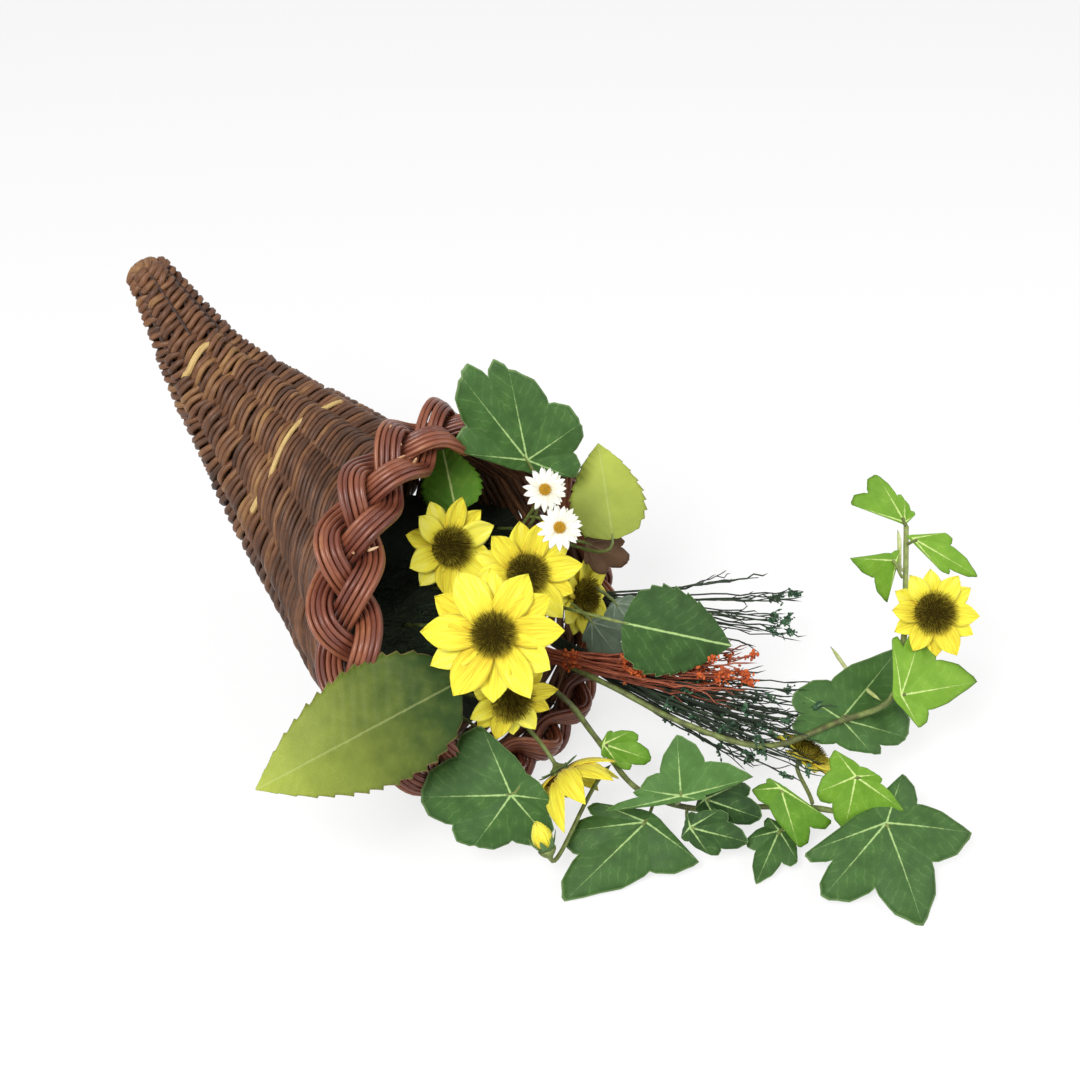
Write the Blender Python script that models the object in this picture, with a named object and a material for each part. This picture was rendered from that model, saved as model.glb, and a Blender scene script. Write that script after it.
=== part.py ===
# Cornucopia basket: a woven wicker horn with a plaited mouth, filled with silk flowers, ivy and twigs.
# Metres, +Z up. The mouth faces +X. The origin is where the bottom of the plaited rim rests.
from math import cos, pi, radians, sin, sqrt, tan, tau

import bmesh
import bpy
import numpy as np
from mathutils import Matrix, Vector

mm = 0.001

# Basket
mouth_radius = 95 * mm            # to the middle of the plait
horn_length = 240 * mm            # mouth centre to the heel of the tail, level
mouth_tilt = radians(28)          # the mouth looks up by this much
wall = 3.0 * mm
rib_height = 0.8 * mm             # how far the weave stands out over a stake
stake_count = 13
stake_radius = 1.5 * mm
tail_round = 9 * mm               # length of the tail's rounded end
knot_flatness_share = 0.5         # length of the core that gathers the stakes in the tail, to its width

# Plait round the mouth
bundle_radius = 5.15 * mm
plait_sway = 12 * mm              # side to side
plait_lift = 7.2 * mm             # over and under
plait_repeats = 6
plait_lean = radians(40)          # the plait's face turns forward from straight out
flat_share = 0.1                  # a tenth of a bundle is pressed flat where it rests

# Filling
clearance = 0.3 * mm
foam_front = 38 * mm              # the foam's face lies this far behind the mouth
foam_ease = 0.8 * mm              # between the foam and the stakes that it is wedged against
foam_drop = 8 * mm                # its top lies this far below the mouth's middle
socket_depth = 11 * mm
socket_ease = 1.5 * mm            # a stem runs straight until it is this far out of the foam
stem_radius = 1.2 * mm
vine_radius = 1.6 * mm
twig_stub_radius = 4.6 * mm
twig_radius = 0.7 * mm
stub_length = 14 * mm             # the bound part of a twig bunch outside the foam
cloth = 0.7 * mm                  # stiffened fabric of petals and leaves
petiole_width = 2.0 * mm
calyx_radius = 6 * mm
calyx_height = 6 * mm
peg_radius = 1.0 * mm
bud_radius = 5 * mm
bud_height = 14 * mm
open_sunflower = 34 * mm          # reach of the petals from the middle
full_sunflower = 28 * mm
deep_sunflower = 26 * mm
small_sunflower = 24 * mm
young_sunflower = 21 * mm
daisy_reach = 11 * mm
seed_radius = 10.5 * mm           # the centres of the sunflowers are all alike
seed_height = 5.5 * mm
petal_hole = peg_radius + cloth
petal_root_share = 0.22           # where petals part, to their reach
petal_belly_share = 0.66          # where they are widest
petal_fill_share = 0.9            # and then fill this much of the room between their neighbours
root_rise_share = 0.03            # petals rise by this much of their reach from the peg to where they part
cup_share = 0.12                  # how far petal tips bend forward
flock_share = 0.3                 # a daisy's centre, to its reach
flock_height_share = 0.2
calyx_share = 0.25                # the largest calyx, to the petals' reach
droop_share = 0.06                # a leaf's tip hangs back by this much of its length
heart_share = 0.34                # a leaf's inner outline shrinks towards this place on its midrib
peg_share = 0.9                   # the calyx narrows to the peg in the last tenth below the petals
nudge_share = 0.002               # the step that the surface's slopes are measured over
wall_steps = 15
stem_steps = 7
petiole_steps = 5
vine_steps = 26
braid_steps = 78

# The horn's outline in its middle plane, station by station from the mouth to the tail: where the top
# line and the bottom line are, and how wide it is. Lengths along X are shares of horn_length, the
# others shares of mouth_radius, all measured from the middle of the weave's rim.
station_shares = (0.00, 0.10, 0.20, 0.32, 0.46, 0.62, 0.80, 1.00)
top_x_shares = (-0.182, -0.195, -0.223, -0.285, -0.388, -0.527, -0.677, -0.851)
top_z_shares = (0.864, 0.822, 0.802, 0.812, 0.887, 0.977, 1.107, 1.457)
bottom_x_shares = (0.182, 0.028, -0.150, -0.339, -0.535, -0.685, -0.830, -0.945)
bottom_z_shares = (-0.864, -0.918, -0.862, -0.575, -0.163, 0.237, 0.707, 1.302)
half_width_shares = (0.98, 0.95, 0.86, 0.71, 0.57, 0.435, 0.28, 0.15)
# Stations of the stakes, from the rim to the core in the tail; the foam reaches from one to another.
stake_shares = (0.01, 0.05, 0.10, 0.15, 0.20, 0.26, 0.32, 0.38, 0.44, 0.54, 0.66, 0.80, 0.95)
foam_stations = slice(1, 9)

facing = Vector((cos(mouth_tilt), 0, sin(mouth_tilt)))
rise = Vector((-sin(mouth_tilt), 0, cos(mouth_tilt)))
side = Vector((0, 1, 0))
eye = (0.44, -0.62, 0.65)         # most leaves and flowers are turned this way
golden_angle = pi * (3 - sqrt(5))


def plait_offset(turn, swing):
    """A bundle's middle, from the mouth's middle: turn runs round the mouth from its top."""
    out = rise * cos(turn) + side * sin(turn)
    face_out = out * cos(plait_lean) + facing * sin(plait_lean)
    face_side = facing * cos(plait_lean) - out * sin(plait_lean)
    return out * mouth_radius + face_side * plait_sway * sin(swing) + face_out * plait_lift * sin(2 * swing)


# One bundle is at its lowest at the bottom of the mouth. There it is pressed flat and stands on the origin.
low_swing = min(np.linspace(0, tau, 361), key=lambda swing: plait_offset(pi, swing).z)
first_phase = low_swing - plait_repeats * pi
flat_depth = flat_share * 2 * bundle_radius
mouth = Vector((0, 0, bundle_radius - flat_depth)) - plait_offset(pi, low_swing)

# The weave ends just behind the plait.
half_out = plait_lift + bundle_radius
half_side = plait_sway + bundle_radius
plait_back = sqrt((half_out * sin(plait_lean)) ** 2 + (half_side * cos(plait_lean)) ** 2)
rim = mouth - facing * (plait_back + 2 * clearance)


# Materials and finished objects

def material(name, colour, roughness):
    made = bpy.data.materials.new(name)
    made.use_nodes = True
    shader = made.node_tree.nodes["Principled BSDF"]
    shader.inputs["Base Color"].default_value = (*colour, 1)
    shader.inputs["Roughness"].default_value = roughness
    return made


def finish(name, data, look):
    """Link a mesh or a curve to the scene as a named piece."""
    piece = bpy.data.objects.new(name, data)
    bpy.context.collection.objects.link(piece)
    data.materials.clear()
    data.materials.append(look)
    return piece


def mesh_from(bm, name):
    bmesh.ops.recalc_face_normals(bm, faces=bm.faces)
    mesh = bpy.data.meshes.new(name)
    bm.to_mesh(mesh)
    bm.free()
    return mesh


def frozen(piece):
    """Replace an object by the plain mesh that its curve or modifiers make."""
    bpy.context.view_layer.update()
    mesh = bpy.data.meshes.new_from_object(piece.evaluated_get(bpy.context.evaluated_depsgraph_get()))
    bpy.data.objects.remove(piece)
    return mesh


def boolean(mesh, others, operation):
    """Join the other meshes to the first, or cut them from it."""
    base = bpy.data.objects.new("base", mesh)
    bpy.context.collection.objects.link(base)
    helpers = []
    for number, other in enumerate(others):
        helper = bpy.data.objects.new("helper", other)
        bpy.context.collection.objects.link(helper)
        helpers.append(helper)
        step = base.modifiers.new(f"step {number}", "BOOLEAN")
        step.operation = operation
        step.object = helper
        step.solver = "EXACT"
    result = frozen(base)
    for helper in helpers:
        bpy.data.objects.remove(helper)
    return result


def smooth_shade(mesh):
    mesh.shade_smooth()
    mesh.set_sharp_from_angle(angle=radians(40))


# Smooth curves

def through(stations, values, place):
    """Read a smooth curve through the values at their stations."""
    slopes = np.gradient(values, stations)
    index = int(np.clip(np.searchsorted(stations, place, side="right") - 1, 0, len(stations) - 2))
    span = stations[index + 1] - stations[index]
    t = (place - stations[index]) / span
    start = values[index] * (1 + 2 * t) * (1 - t) ** 2 + slopes[index] * span * t * (1 - t) ** 2
    end = values[index + 1] * t * t * (3 - 2 * t) + slopes[index + 1] * span * t * t * (t - 1)
    return start + end


def bend(start, start_pull, end_pull, end, steps):
    """Points of a smooth arm that leaves start and arrives at end as the two pulls say."""
    points = []
    for number in range(steps + 1):
        t = number / steps
        points.append(
            start * (1 - t) ** 3
            + (start + start_pull) * 3 * t * (1 - t) ** 2
            + (end - end_pull) * 3 * t * t * (1 - t)
            + end * t ** 3
        )
    return points


def route_points(route, count):
    """Read evenly many points from a smooth curve through a route's own points."""
    stations = [0.0]
    for before, after in zip(route, route[1:]):
        stations.append(stations[-1] + (after - before).length)
    columns = [[point[axis] for point in route] for axis in range(3)]
    places = [stations[-1] * number / count for number in range(count + 1)]
    return [Vector([through(stations, column, place) for column in columns]) for place in places]


def aim(direction):
    """A turn that points a piece's own Z along the direction."""
    return direction.to_track_quat("Z", "Y").to_matrix()


def tube(name, points, radii, sides=6, closed=False):
    """A curve through the points with a round bevel and filled ends."""
    curve = bpy.data.curves.new(name, "CURVE")
    curve.dimensions = "3D"
    curve.bevel_depth = 1.0
    curve.bevel_resolution = sides // 2 - 2
    curve.use_fill_caps = True
    curve.resolution_u = 1
    curve.render_resolution_u = 0
    spline = curve.splines.new("POLY")
    spline.points.add(len(points) - 1)
    for target, point, radius in zip(spline.points, points, radii):
        target.co = (*point, 1)
        target.radius = radius
    spline.use_cyclic_u = closed
    spline.use_smooth = True
    return curve


def solid_tube(points, radii, sides=6, closed=False):
    """The same tube as a plain mesh."""
    piece = bpy.data.objects.new("tube", tube("tube", points, radii, sides, closed))
    bpy.context.collection.objects.link(piece)
    return frozen(piece)


# The horn

def horn_point(station, angle):
    """A point of the horn's outer surface, angle measured from the top towards +Y."""
    top = Vector((
        through(station_shares, top_x_shares, station) * horn_length,
        0,
        through(station_shares, top_z_shares, station) * mouth_radius,
    ))
    bottom = Vector((
        through(station_shares, bottom_x_shares, station) * horn_length,
        0,
        through(station_shares, bottom_z_shares, station) * mouth_radius,
    ))
    width = through(station_shares, half_width_shares, station) * mouth_radius
    return rim + (top + bottom) / 2 + (top - bottom) / 2 * cos(angle) + side * width * sin(angle)


def horn_inside(station, angle, depth):
    """A point below the horn's surface, straight in from it."""
    before, after = max(station - nudge_share, 0), min(station + nudge_share, 1)
    along = horn_point(after, angle) - horn_point(before, angle)
    around = horn_point(station, angle + nudge_share) - horn_point(station, angle - nudge_share)
    inward = along.cross(around).normalized()
    centre = (horn_point(station, 0) + horn_point(station, pi)) / 2
    point = horn_point(station, angle)
    if inward.dot(centre - point) < 0:
        inward = -inward
    return point + inward * depth


def ring_loft(rings, end_point=None):
    """Faces between rings of points; the last ring closes on end_point or gets a flat cap."""
    bm = bmesh.new()
    loops = [[bm.verts.new(point) for point in ring] for ring in rings]
    count = len(rings[0])
    for near, far in zip(loops, loops[1:]):
        for number in range(count):
            after = (number + 1) % count
            bm.faces.new((near[number], near[after], far[after], far[number]))
    if end_point is not None:
        tip = bm.verts.new(end_point)
        for number in range(count):
            bm.faces.new((loops[-1][number], loops[-1][(number + 1) % count], tip))
    return bm, loops


def woven_wall():
    """The woven wall: open at the mouth, rounded and closed at the tail."""
    around = 2 * stake_count
    rings = []
    for step in range(wall_steps + 1):
        station = step / wall_steps
        ring = []
        for number in range(around):
            angle = tau * number / around
            valley = rib_height if number % 2 else 0
            ring.append(horn_inside(station, angle, valley))
        rings.append(ring)
    tail = (horn_point(1, 0) + horn_point(1, pi)) / 2
    knot = (horn_point(stake_shares[-1], 0) + horn_point(stake_shares[-1], pi)) / 2
    outward = (tail - knot).normalized()
    last_ring = rings[-1]
    for share in (0.5, 0.85):
        shrink = sqrt(1 - share ** 2)
        rings.append([tail + (point - tail) * shrink + outward * tail_round * share for point in last_ring])
    bm, loops = ring_loft(rings, tail + outward * tail_round)
    piece = finish("woven_wall", mesh_from(bm, "woven_wall"), wicker)
    shell = piece.modifiers.new("Wall", "SOLIDIFY")
    shell.thickness = wall
    shell.offset = -1
    return piece


def stake_cage():
    """The stakes, just inside the weave, ending in the core in the tail."""
    depth = wall + rib_height + clearance + stake_radius
    last = stake_shares[-1]
    knot = (horn_point(last, 0) + horn_point(last, pi)) / 2
    onward = (horn_point(1, 0) + horn_point(1, pi)) / 2 - knot
    upward = horn_inside(last, 0, depth - stake_radius / 2) - knot
    sideways = horn_inside(last, pi / 2, depth - stake_radius / 2) - knot
    lengthways = onward.normalized() * sideways.length * knot_flatness_share
    stakes = []
    for number in range(stake_count):
        angle = tau * number / stake_count
        points = [horn_inside(share, angle, depth) for share in stake_shares]
        stakes.append(solid_tube(points, [stake_radius] * len(points)))
    bm = bmesh.new()
    shape = Matrix((upward, sideways, lengthways)).transposed().to_4x4()
    shape.translation = knot
    bmesh.ops.create_icosphere(bm, subdivisions=2, radius=1, matrix=shape)
    mesh = boolean(mesh_from(bm, "knot"), stakes, "UNION")
    smooth_shade(mesh)
    return finish("stake_cage", mesh, dark_cane)


def braid_strand(number):
    """One of the three bundles plaited round the mouth, cut flat where the basket rests."""
    phase = first_phase + tau * number / 3
    points = []
    for step in range(braid_steps):
        turn = tau * step / braid_steps
        points.append(mouth + plait_offset(turn, plait_repeats * turn + phase))
    mesh = solid_tube(points, [bundle_radius] * braid_steps, closed=True)
    bm = bmesh.new()
    bm.from_mesh(mesh)
    whole = bm.verts[:] + bm.edges[:] + bm.faces[:]
    cut = bmesh.ops.bisect_plane(bm, geom=whole, plane_co=(0, 0, 0), plane_no=(0, 0, -1), clear_outer=True)
    edges = [item for item in cut["geom_cut"] if isinstance(item, bmesh.types.BMEdge)]
    bmesh.ops.holes_fill(bm, edges=edges)
    bmesh.ops.triangulate(bm, faces=[face for face in bm.faces if len(face.verts) > 4])
    mesh = mesh_from(bm, "braid")
    smooth_shade(mesh)
    return finish(f"braid_strand_{number + 1}", mesh, cane)


# The foam block and the places where stems go into it

def on_foam(right_share, up_share):
    """A place on the foam's front face, as shares of the mouth's radius."""
    return mouth - facing * foam_front + (side * right_share + rise * up_share) * mouth_radius


sockets = []


def socket(right_share, up_share, radius):
    """Note a hole for a stem and give the straight start of the stem, from its lower end in the hole."""
    place = on_foam(right_share, up_share)
    sockets.append((place, radius + clearance))
    return [place - facing * (socket_depth - clearance), place + facing * socket_ease]


def floral_foam():
    """The block wedged in the belly, with a drilled hole for every stem."""
    depth = wall + rib_height + clearance + 2 * stake_radius + foam_ease
    around = 2 * stake_count
    rings = []
    for station in stake_shares[foam_stations]:
        rings.append([horn_inside(station, tau * number / around, depth) for number in range(around)])
    bm, loops = ring_loft(rings)
    bm.faces.new(loops[0])
    bm.faces.new(loops[-1])
    bmesh.ops.recalc_face_normals(bm, faces=bm.faces)
    trims = (
        (mouth - facing * foam_front, facing),
        (mouth - Vector((0, 0, foam_drop)), Vector((0, 0, 1))),
    )
    for place, outward in trims:
        whole = bm.verts[:] + bm.edges[:] + bm.faces[:]
        cut = bmesh.ops.bisect_plane(bm, geom=whole, plane_co=place, plane_no=outward, clear_outer=True)
        edges = [item for item in cut["geom_cut"] if isinstance(item, bmesh.types.BMEdge)]
        bmesh.ops.contextual_create(bm, geom=edges)
    holes = []
    for place, radius in sockets:
        ends = [place - facing * socket_depth, place + facing * socket_depth]
        holes.append(solid_tube(ends, [radius] * 2, sides=8))
    mesh = boolean(mesh_from(bm, "foam"), holes, "DIFFERENCE")
    return finish("floral_foam", mesh, foam)


# Flowers

def place_of(shares):
    """A place in the filling, as shares of the mouth's radius from its middle."""
    return mouth + Vector(shares) * mouth_radius


def petals(name, head, look_to, reach, count, look):
    """One stamped layer of petals with a hole for the peg."""
    turn = aim(look_to)
    half_width = petal_belly_share * reach * tan(pi / count) * petal_fill_share
    rising = Vector((0, 0, root_rise_share * reach))
    bm = bmesh.new()
    inner, outer = [], []
    for number in range(count):
        angle = tau * number / count
        spoke = Vector((cos(angle), sin(angle), 0))
        inner.append(bm.verts.new(head + turn @ (spoke * petal_hole)))
        outer.append(bm.verts.new(head + turn @ (spoke * petal_root_share * reach + rising)))
    for number in range(count):
        after = (number + 1) % count
        bm.faces.new((inner[number], inner[after], outer[after], outer[number]))
        middle = tau * (number + 0.5) / count
        along = Vector((cos(middle), sin(middle), 0))
        across = Vector((-sin(middle), cos(middle), 0))
        lift = Vector((0, 0, cup_share * reach))
        belly = [along * reach * petal_belly_share + across * half_width * way for way in (-1, 1)]
        left, right = [bm.verts.new(head + turn @ (point + rising)) for point in belly]
        tip = bm.verts.new(head + turn @ (along * reach + rising + lift))
        bm.faces.new((outer[number], left, right, outer[after]))
        bm.faces.new((left, tip, right))
    bmesh.ops.translate(bm, verts=bm.verts, vec=look_to * -cloth / 2)
    raised = bmesh.ops.extrude_face_region(bm, geom=bm.faces, use_keep_orig=True)["geom"]
    upper = [item for item in raised if isinstance(item, bmesh.types.BMVert)]
    bmesh.ops.translate(bm, verts=upper, vec=look_to * cloth)
    return finish(name, mesh_from(bm, name), look)


def dome(name, seat, look_to, radius, height, look, sides=12):
    """A flower's centre: a low turned dome just above its seat on the petals."""
    bm = bmesh.new()
    floor = cloth / 2 + clearance
    profile = [(0, floor), (radius * 0.9, floor), (radius, floor + height * 0.35)]
    profile += [(radius * 0.72, floor + height * 0.82), (0, floor + height)]
    verts = [bm.verts.new((out, 0, up)) for out, up in profile]
    edges = [bm.edges.new(pair) for pair in zip(verts, verts[1:])]
    bmesh.ops.spin(bm, geom=verts + edges, cent=(0, 0, 0), axis=(0, 0, 1), angle=tau, steps=sides,
                   use_merge=True)
    bmesh.ops.remove_doubles(bm, verts=bm.verts, dist=radius / 100)
    bmesh.ops.transform(bm, matrix=Matrix.Translation(seat) @ aim(look_to).to_4x4(), verts=bm.verts)
    mesh = mesh_from(bm, name)
    smooth_shade(mesh)
    return finish(name, mesh, look)


def flower_stem(name, lead, pull, head, look_to, calyx):
    """Stem, calyx and peg in one moulding, seated under the petals."""
    under = cloth / 2 + clearance
    calyx_foot = head - look_to * (under + calyx_height)
    points = lead[:-1] + bend(lead[-1], pull, look_to * pull.length / 2, calyx_foot, stem_steps)
    radii = [stem_radius] * len(points)
    for share in (0.6, 1.0):
        points.append(calyx_foot + look_to * calyx_height * share)
        radii.append(stem_radius + (calyx - stem_radius) * share)
    points += [head - look_to * under * peg_share, head + look_to * cloth / 2]
    radii += [peg_radius, peg_radius]
    return finish(name, tube(name, points, radii), stem_green)


def sunflower(name, place_shares, look_to, reach, petal_count, foot_shares):
    head = place_of(place_shares)
    look_to = Vector(look_to).normalized()
    petals(f"{name}_petals", head, look_to, reach, petal_count, yellow_silk)
    seat = head + look_to * root_rise_share * reach
    dome(f"{name}_centre", seat, look_to, seed_radius, seed_height, seed_brown)
    lead = socket(*foot_shares, stem_radius)
    pull = facing * (head - lead[-1]).length * 0.45
    flower_stem(f"{name}_stem", lead, pull, head, look_to, min(calyx_radius, calyx_share * reach))


def vine_sunflower(name, points, share, place_shares, look_to, reach, petal_count):
    """A sunflower whose stem is pushed on a vine."""
    head = place_of(place_shares)
    look_to = Vector(look_to).normalized()
    petals(f"{name}_petals", head, look_to, reach, petal_count, yellow_silk)
    seat = head + look_to * root_rise_share * reach
    dome(f"{name}_centre", seat, look_to, seed_radius, seed_height, seed_brown)
    calyx = min(calyx_radius, calyx_share * reach)
    start, away = seat_on(points, share, head - look_to * 3 * calyx_height)
    flower_stem(f"{name}_stem", [start], away * (head - start).length * 0.3, head, look_to, calyx)


def bud(name, points, share, place_shares, look_to):
    """A closed yellow bud on its own stem, pushed on a vine."""
    head = place_of(place_shares)
    look_to = Vector(look_to).normalized()
    dome(name, head, look_to, bud_radius, bud_height, yellow_silk, sides=8)
    start, away = seat_on(points, share, head - look_to * 3 * calyx_height)
    flower_stem(f"{name}_stem", [start], away * bud_height, head, look_to, bud_radius)


def daisies(places_shares, look_to, reach, petal_count, foot_shares):
    """Two daisies on one forked stem."""
    look_to = Vector(look_to).normalized()
    lead = socket(*foot_shares, stem_radius)
    tubes = []
    for number, shares in enumerate(places_shares):
        head = place_of(shares)
        name = f"daisy_{number + 1}"
        petals(f"{name}_petals", head, look_to, reach, petal_count, white_silk)
        seat = head + look_to * root_rise_share * reach
        flock = flock_share * reach
        dome(f"{name}_centre", seat, look_to, flock, flock_height_share * reach, pollen, sides=8)
        calyx = calyx_share * reach
        before = lead if number == 0 else [tubes[0][4]]
        origin = before[-1]
        pull = facing * (head - origin).length * 0.3
        under = cloth / 2 + clearance
        foot = head - look_to * (under + calyx)
        points = before[:-1] + bend(origin, pull, look_to * pull.length / 2, foot, stem_steps)
        points += [head - look_to * under, head - look_to * under * peg_share, head + look_to * cloth / 2]
        tubes.append(points)
    solids = []
    for points in tubes:
        radii = [stem_radius] * (len(points) - 3) + [calyx, peg_radius, peg_radius]
        solids.append(solid_tube(points, radii))
    finish("daisy_stem", boolean(solids[0], solids[1:], "UNION"), stem_green)


# Leaves

# Outlines of half a leaf from its base to its tip: shares of its length and of its half width.
ivy_shares = ((-0.14, 0.46), (0.08, 0.80), (0.36, 1.00), (0.48, 0.52), (0.74, 0.33))
serrated_shares = ((0.02, 0.45), (0.20, 0.86), (0.42, 1.00), (0.66, 0.80), (0.86, 0.42))


def leaf(name, lead, pull, base, tip, width_share, outline_shares, look, look_to=eye):
    """A stamped fabric leaf with its petiole: one thin sheet, from the petiole's foot to the tip."""
    along = tip - base
    length = along.length
    width = width_share * length
    forward = along.normalized()
    across = Vector(look_to).cross(forward).normalized()
    normal = forward.cross(across)
    bm = bmesh.new()

    def spot(share_x, share_y):
        droop = droop_share * length * (share_x ** 2 + 0.6 * share_y ** 2)
        point = base + forward * length * share_x + across * width / 2 * share_y - normal * droop
        return bm.verts.new(point)

    middle = spot(heart_share, 0)
    inner_tip = spot((1 + heart_share) / 2, 0)
    outer_tip = spot(1, 0)
    neck = [bm.verts.new(base + across * petiole_width / 2 * way) for way in (1, -1)]
    for way, corner in zip((1, -1), neck):
        outer = [corner] + [spot(x, y * way) for x, y in outline_shares] + [outer_tip]
        inner = [corner] + [spot((x + heart_share) / 2, y * way / 2) for x, y in outline_shares]
        inner.append(inner_tip)
        bm.faces.new((corner, outer[1], inner[1]))
        for number in range(1, len(outer) - 1):
            bm.faces.new((outer[number], outer[number + 1], inner[number + 1], inner[number]))
        for number in range(len(inner) - 1):
            bm.faces.new((middle, inner[number], inner[number + 1]))
    bm.faces.new((middle, neck[0], neck[1]))
    arrival = forward * (base - lead[-1]).length * 0.3
    path = lead[:-1] + bend(lead[-1], pull, arrival, base, petiole_steps)
    last = neck
    for number in range(len(path) - 2, -1, -1):
        heading = (path[number + 1] - path[number]).normalized()
        sideways = (across - heading * across.dot(heading)).normalized()
        row = [bm.verts.new(path[number] + sideways * petiole_width / 2 * way) for way in (1, -1)]
        bm.faces.new((last[0], last[1], row[1], row[0]))
        last = row
    piece = finish(name, mesh_from(bm, name), look)
    sheet = piece.modifiers.new("Cloth", "SOLIDIFY")
    sheet.thickness = cloth
    sheet.offset = 0
    return piece


def foam_leaf(name, foot_shares, base_shares, tip_shares, width_share, outline_shares, look):
    """A leaf whose petiole is pushed into the foam."""
    lead = socket(*foot_shares, petiole_width / 2 + cloth / 2)
    base = place_of(base_shares)
    pull = facing * (base - lead[-1]).length * 0.5
    leaf(name, lead, pull, base, place_of(tip_shares), width_share, outline_shares, look)


def vine(name, foot_shares, route_shares):
    """A wire-cored plastic vine from the foam along its route; gives its points outside the filling."""
    route = socket(*foot_shares, vine_radius) + [place_of(shares) for shares in route_shares]
    points = route_points(route, vine_steps)
    finish(name, tube(name, points, [vine_radius] * len(points)), stem_green)
    first = min(range(len(points)), key=lambda number: (points[number] - route[2]).length)
    return points[first:]


def seat_on(points, share, toward):
    """A place just off a vine's side, and the way it faces."""
    place = share * (len(points) - 1)
    index = min(int(place), len(points) - 2)
    near, far = points[index], points[index + 1]
    middle = near.lerp(far, place - index)
    heading = (far - near).normalized()
    away = toward - middle
    away = (away - heading * away.dot(heading)).normalized()
    return middle + away * (vine_radius + clearance), away


def vine_leaf(name, points, share, base_shares, tip_shares, width_share, look, look_to=eye):
    """An ivy leaf pushed on a vine."""
    base = place_of(base_shares)
    foot, away = seat_on(points, share, base)
    pull = away * (base - foot).length * 0.4
    leaf(name, [foot], pull, base, place_of(tip_shares), width_share, ivy_shares, look, look_to)


def twig_bunch(name, foot_shares, waist_shares, end_shares, spread_share, count, look):
    """A bunch of fine twigs bound at its foot, which is pushed into the foam."""
    foot = socket(*foot_shares, twig_stub_radius)[0]
    waist = place_of(waist_shares)
    end = place_of(end_shares)
    stub_end = on_foam(*foot_shares) + facing * stub_length
    bound = solid_tube([foot, stub_end], [twig_stub_radius] * 2, sides=8)
    along = (end - waist).normalized()
    level = along.cross(Vector((0, 0, 1))).normalized()
    upright = level.cross(along)
    spread = mouth_radius * spread_share
    twigs = []
    for number in range(count):
        angle = number * golden_angle
        ring = sqrt((number + 0.5) / count)
        fan = (level * cos(angle) + upright * sin(angle) * 0.6) * ring
        spot = (side * cos(angle) + rise * sin(angle)) * ring
        start = stub_end - facing * 2 * twig_radius + spot * (twig_stub_radius - 2 * twig_radius)
        stop = end + fan * spread - along * spread * (number % 3)
        pull = (waist - stub_end) * 0.7
        points = bend(start, pull, (stop - waist) * 0.4, stop, petiole_steps)
        twigs.append(solid_tube(points, [twig_radius] * len(points), sides=4))
    mesh = boolean(bound, twigs, "UNION")
    finish(name, mesh, look)


# Build

for old in list(bpy.data.objects):
    bpy.data.objects.remove(old)

wicker = material("wicker", (0.17, 0.075, 0.045), 0.5)
dark_cane = material("dark cane", (0.08, 0.04, 0.025), 0.6)
cane = material("cane", (0.20, 0.06, 0.04), 0.35)
foam = material("floral foam", (0.02, 0.05, 0.02), 0.9)
yellow_silk = material("yellow silk", (1.0, 0.80, 0.02), 0.7)
white_silk = material("white silk", (0.9, 0.9, 0.88), 0.7)
seed_brown = material("seed brown", (0.06, 0.045, 0.01), 0.9)
pollen = material("pollen yellow", (0.85, 0.55, 0.05), 0.8)
stem_green = material("stem green", (0.10, 0.17, 0.04), 0.5)
dark_leaf = material("dark leaf", (0.03, 0.10, 0.03), 0.5)
bright_leaf = material("bright leaf", (0.12, 0.28, 0.03), 0.5)
lime_leaf = material("lime leaf", (0.20, 0.33, 0.06), 0.5)
twig_green = material("twig green", (0.015, 0.03, 0.02), 0.8)
twig_rust = material("twig rust", (0.30, 0.07, 0.02), 0.8)

woven_wall()
stake_cage()
for strand in range(3):
    braid_strand(strand)

sunflower("sunflower_1", (-0.22, 0.00, 0.28), (0.85, -0.33, 0.65), deep_sunflower, 12, (0.02, 0.06))
sunflower("sunflower_2", (0.29, 0.04, 0.31), (0.60, -0.50, 0.62), full_sunflower, 12, (0.12, -0.04))
sunflower("sunflower_3", (0.48, -0.51, 0.39), eye, open_sunflower, 12, (-0.28, 0.00))
sunflower("sunflower_4", (0.34, 0.53, -0.20), (0.90, 0.10, 0.30), small_sunflower, 12, (0.44, -0.22))
sunflower("sunflower_5", (0.50, -0.40, -0.18), (0.75, -0.50, 0.20), small_sunflower, 12, (-0.22, -0.28))
sunflower("sunflower_6", (0.83, -0.38, -0.60), (0.80, -0.20, -0.55), small_sunflower, 10, (-0.18, -0.56))

low_vine = vine("ivy_vine_low", (0.06, -0.58), (
    (0.63, -0.02, -0.46), (0.82, -0.02, -0.63), (1.15, -0.05, -0.84), (1.49, 0.06, -0.88),
    (1.75, 0.29, -0.90), (1.93, 0.42, -0.90), (2.14, 0.52, -0.90), (2.37, 0.54, -0.88),
))
high_vine = vine("ivy_vine_high", (0.24, -0.46), (
    (0.75, 0.18, -0.40), (1.23, 0.26, -0.50), (1.69, 0.40, -0.52), (1.94, 0.78, -0.50),
    (2.13, 1.03, -0.42), (2.05, 1.31, -0.21), (1.89, 1.62, -0.05), (1.74, 1.88, 0.14),
))

vine_sunflower("sunflower_7", high_vine, 0.77, (2.15, 1.43, -0.03), eye, small_sunflower, 12)
vine_sunflower("sunflower_8", low_vine, 0.81, (1.82, 0.67, -0.76), (0.20, 0.60, 0.75), young_sunflower, 12)
bud("sunflower_bud", low_vine, 0.20, (1.00, -0.76, -0.74), (-0.54, 0.15, 0.81))
daisies(((0.23, 0.30, 0.71), (0.42, 0.17, 0.62)), (0.50, -0.55, 0.67), daisy_reach, 14, (0.44, 0.04))

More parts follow.
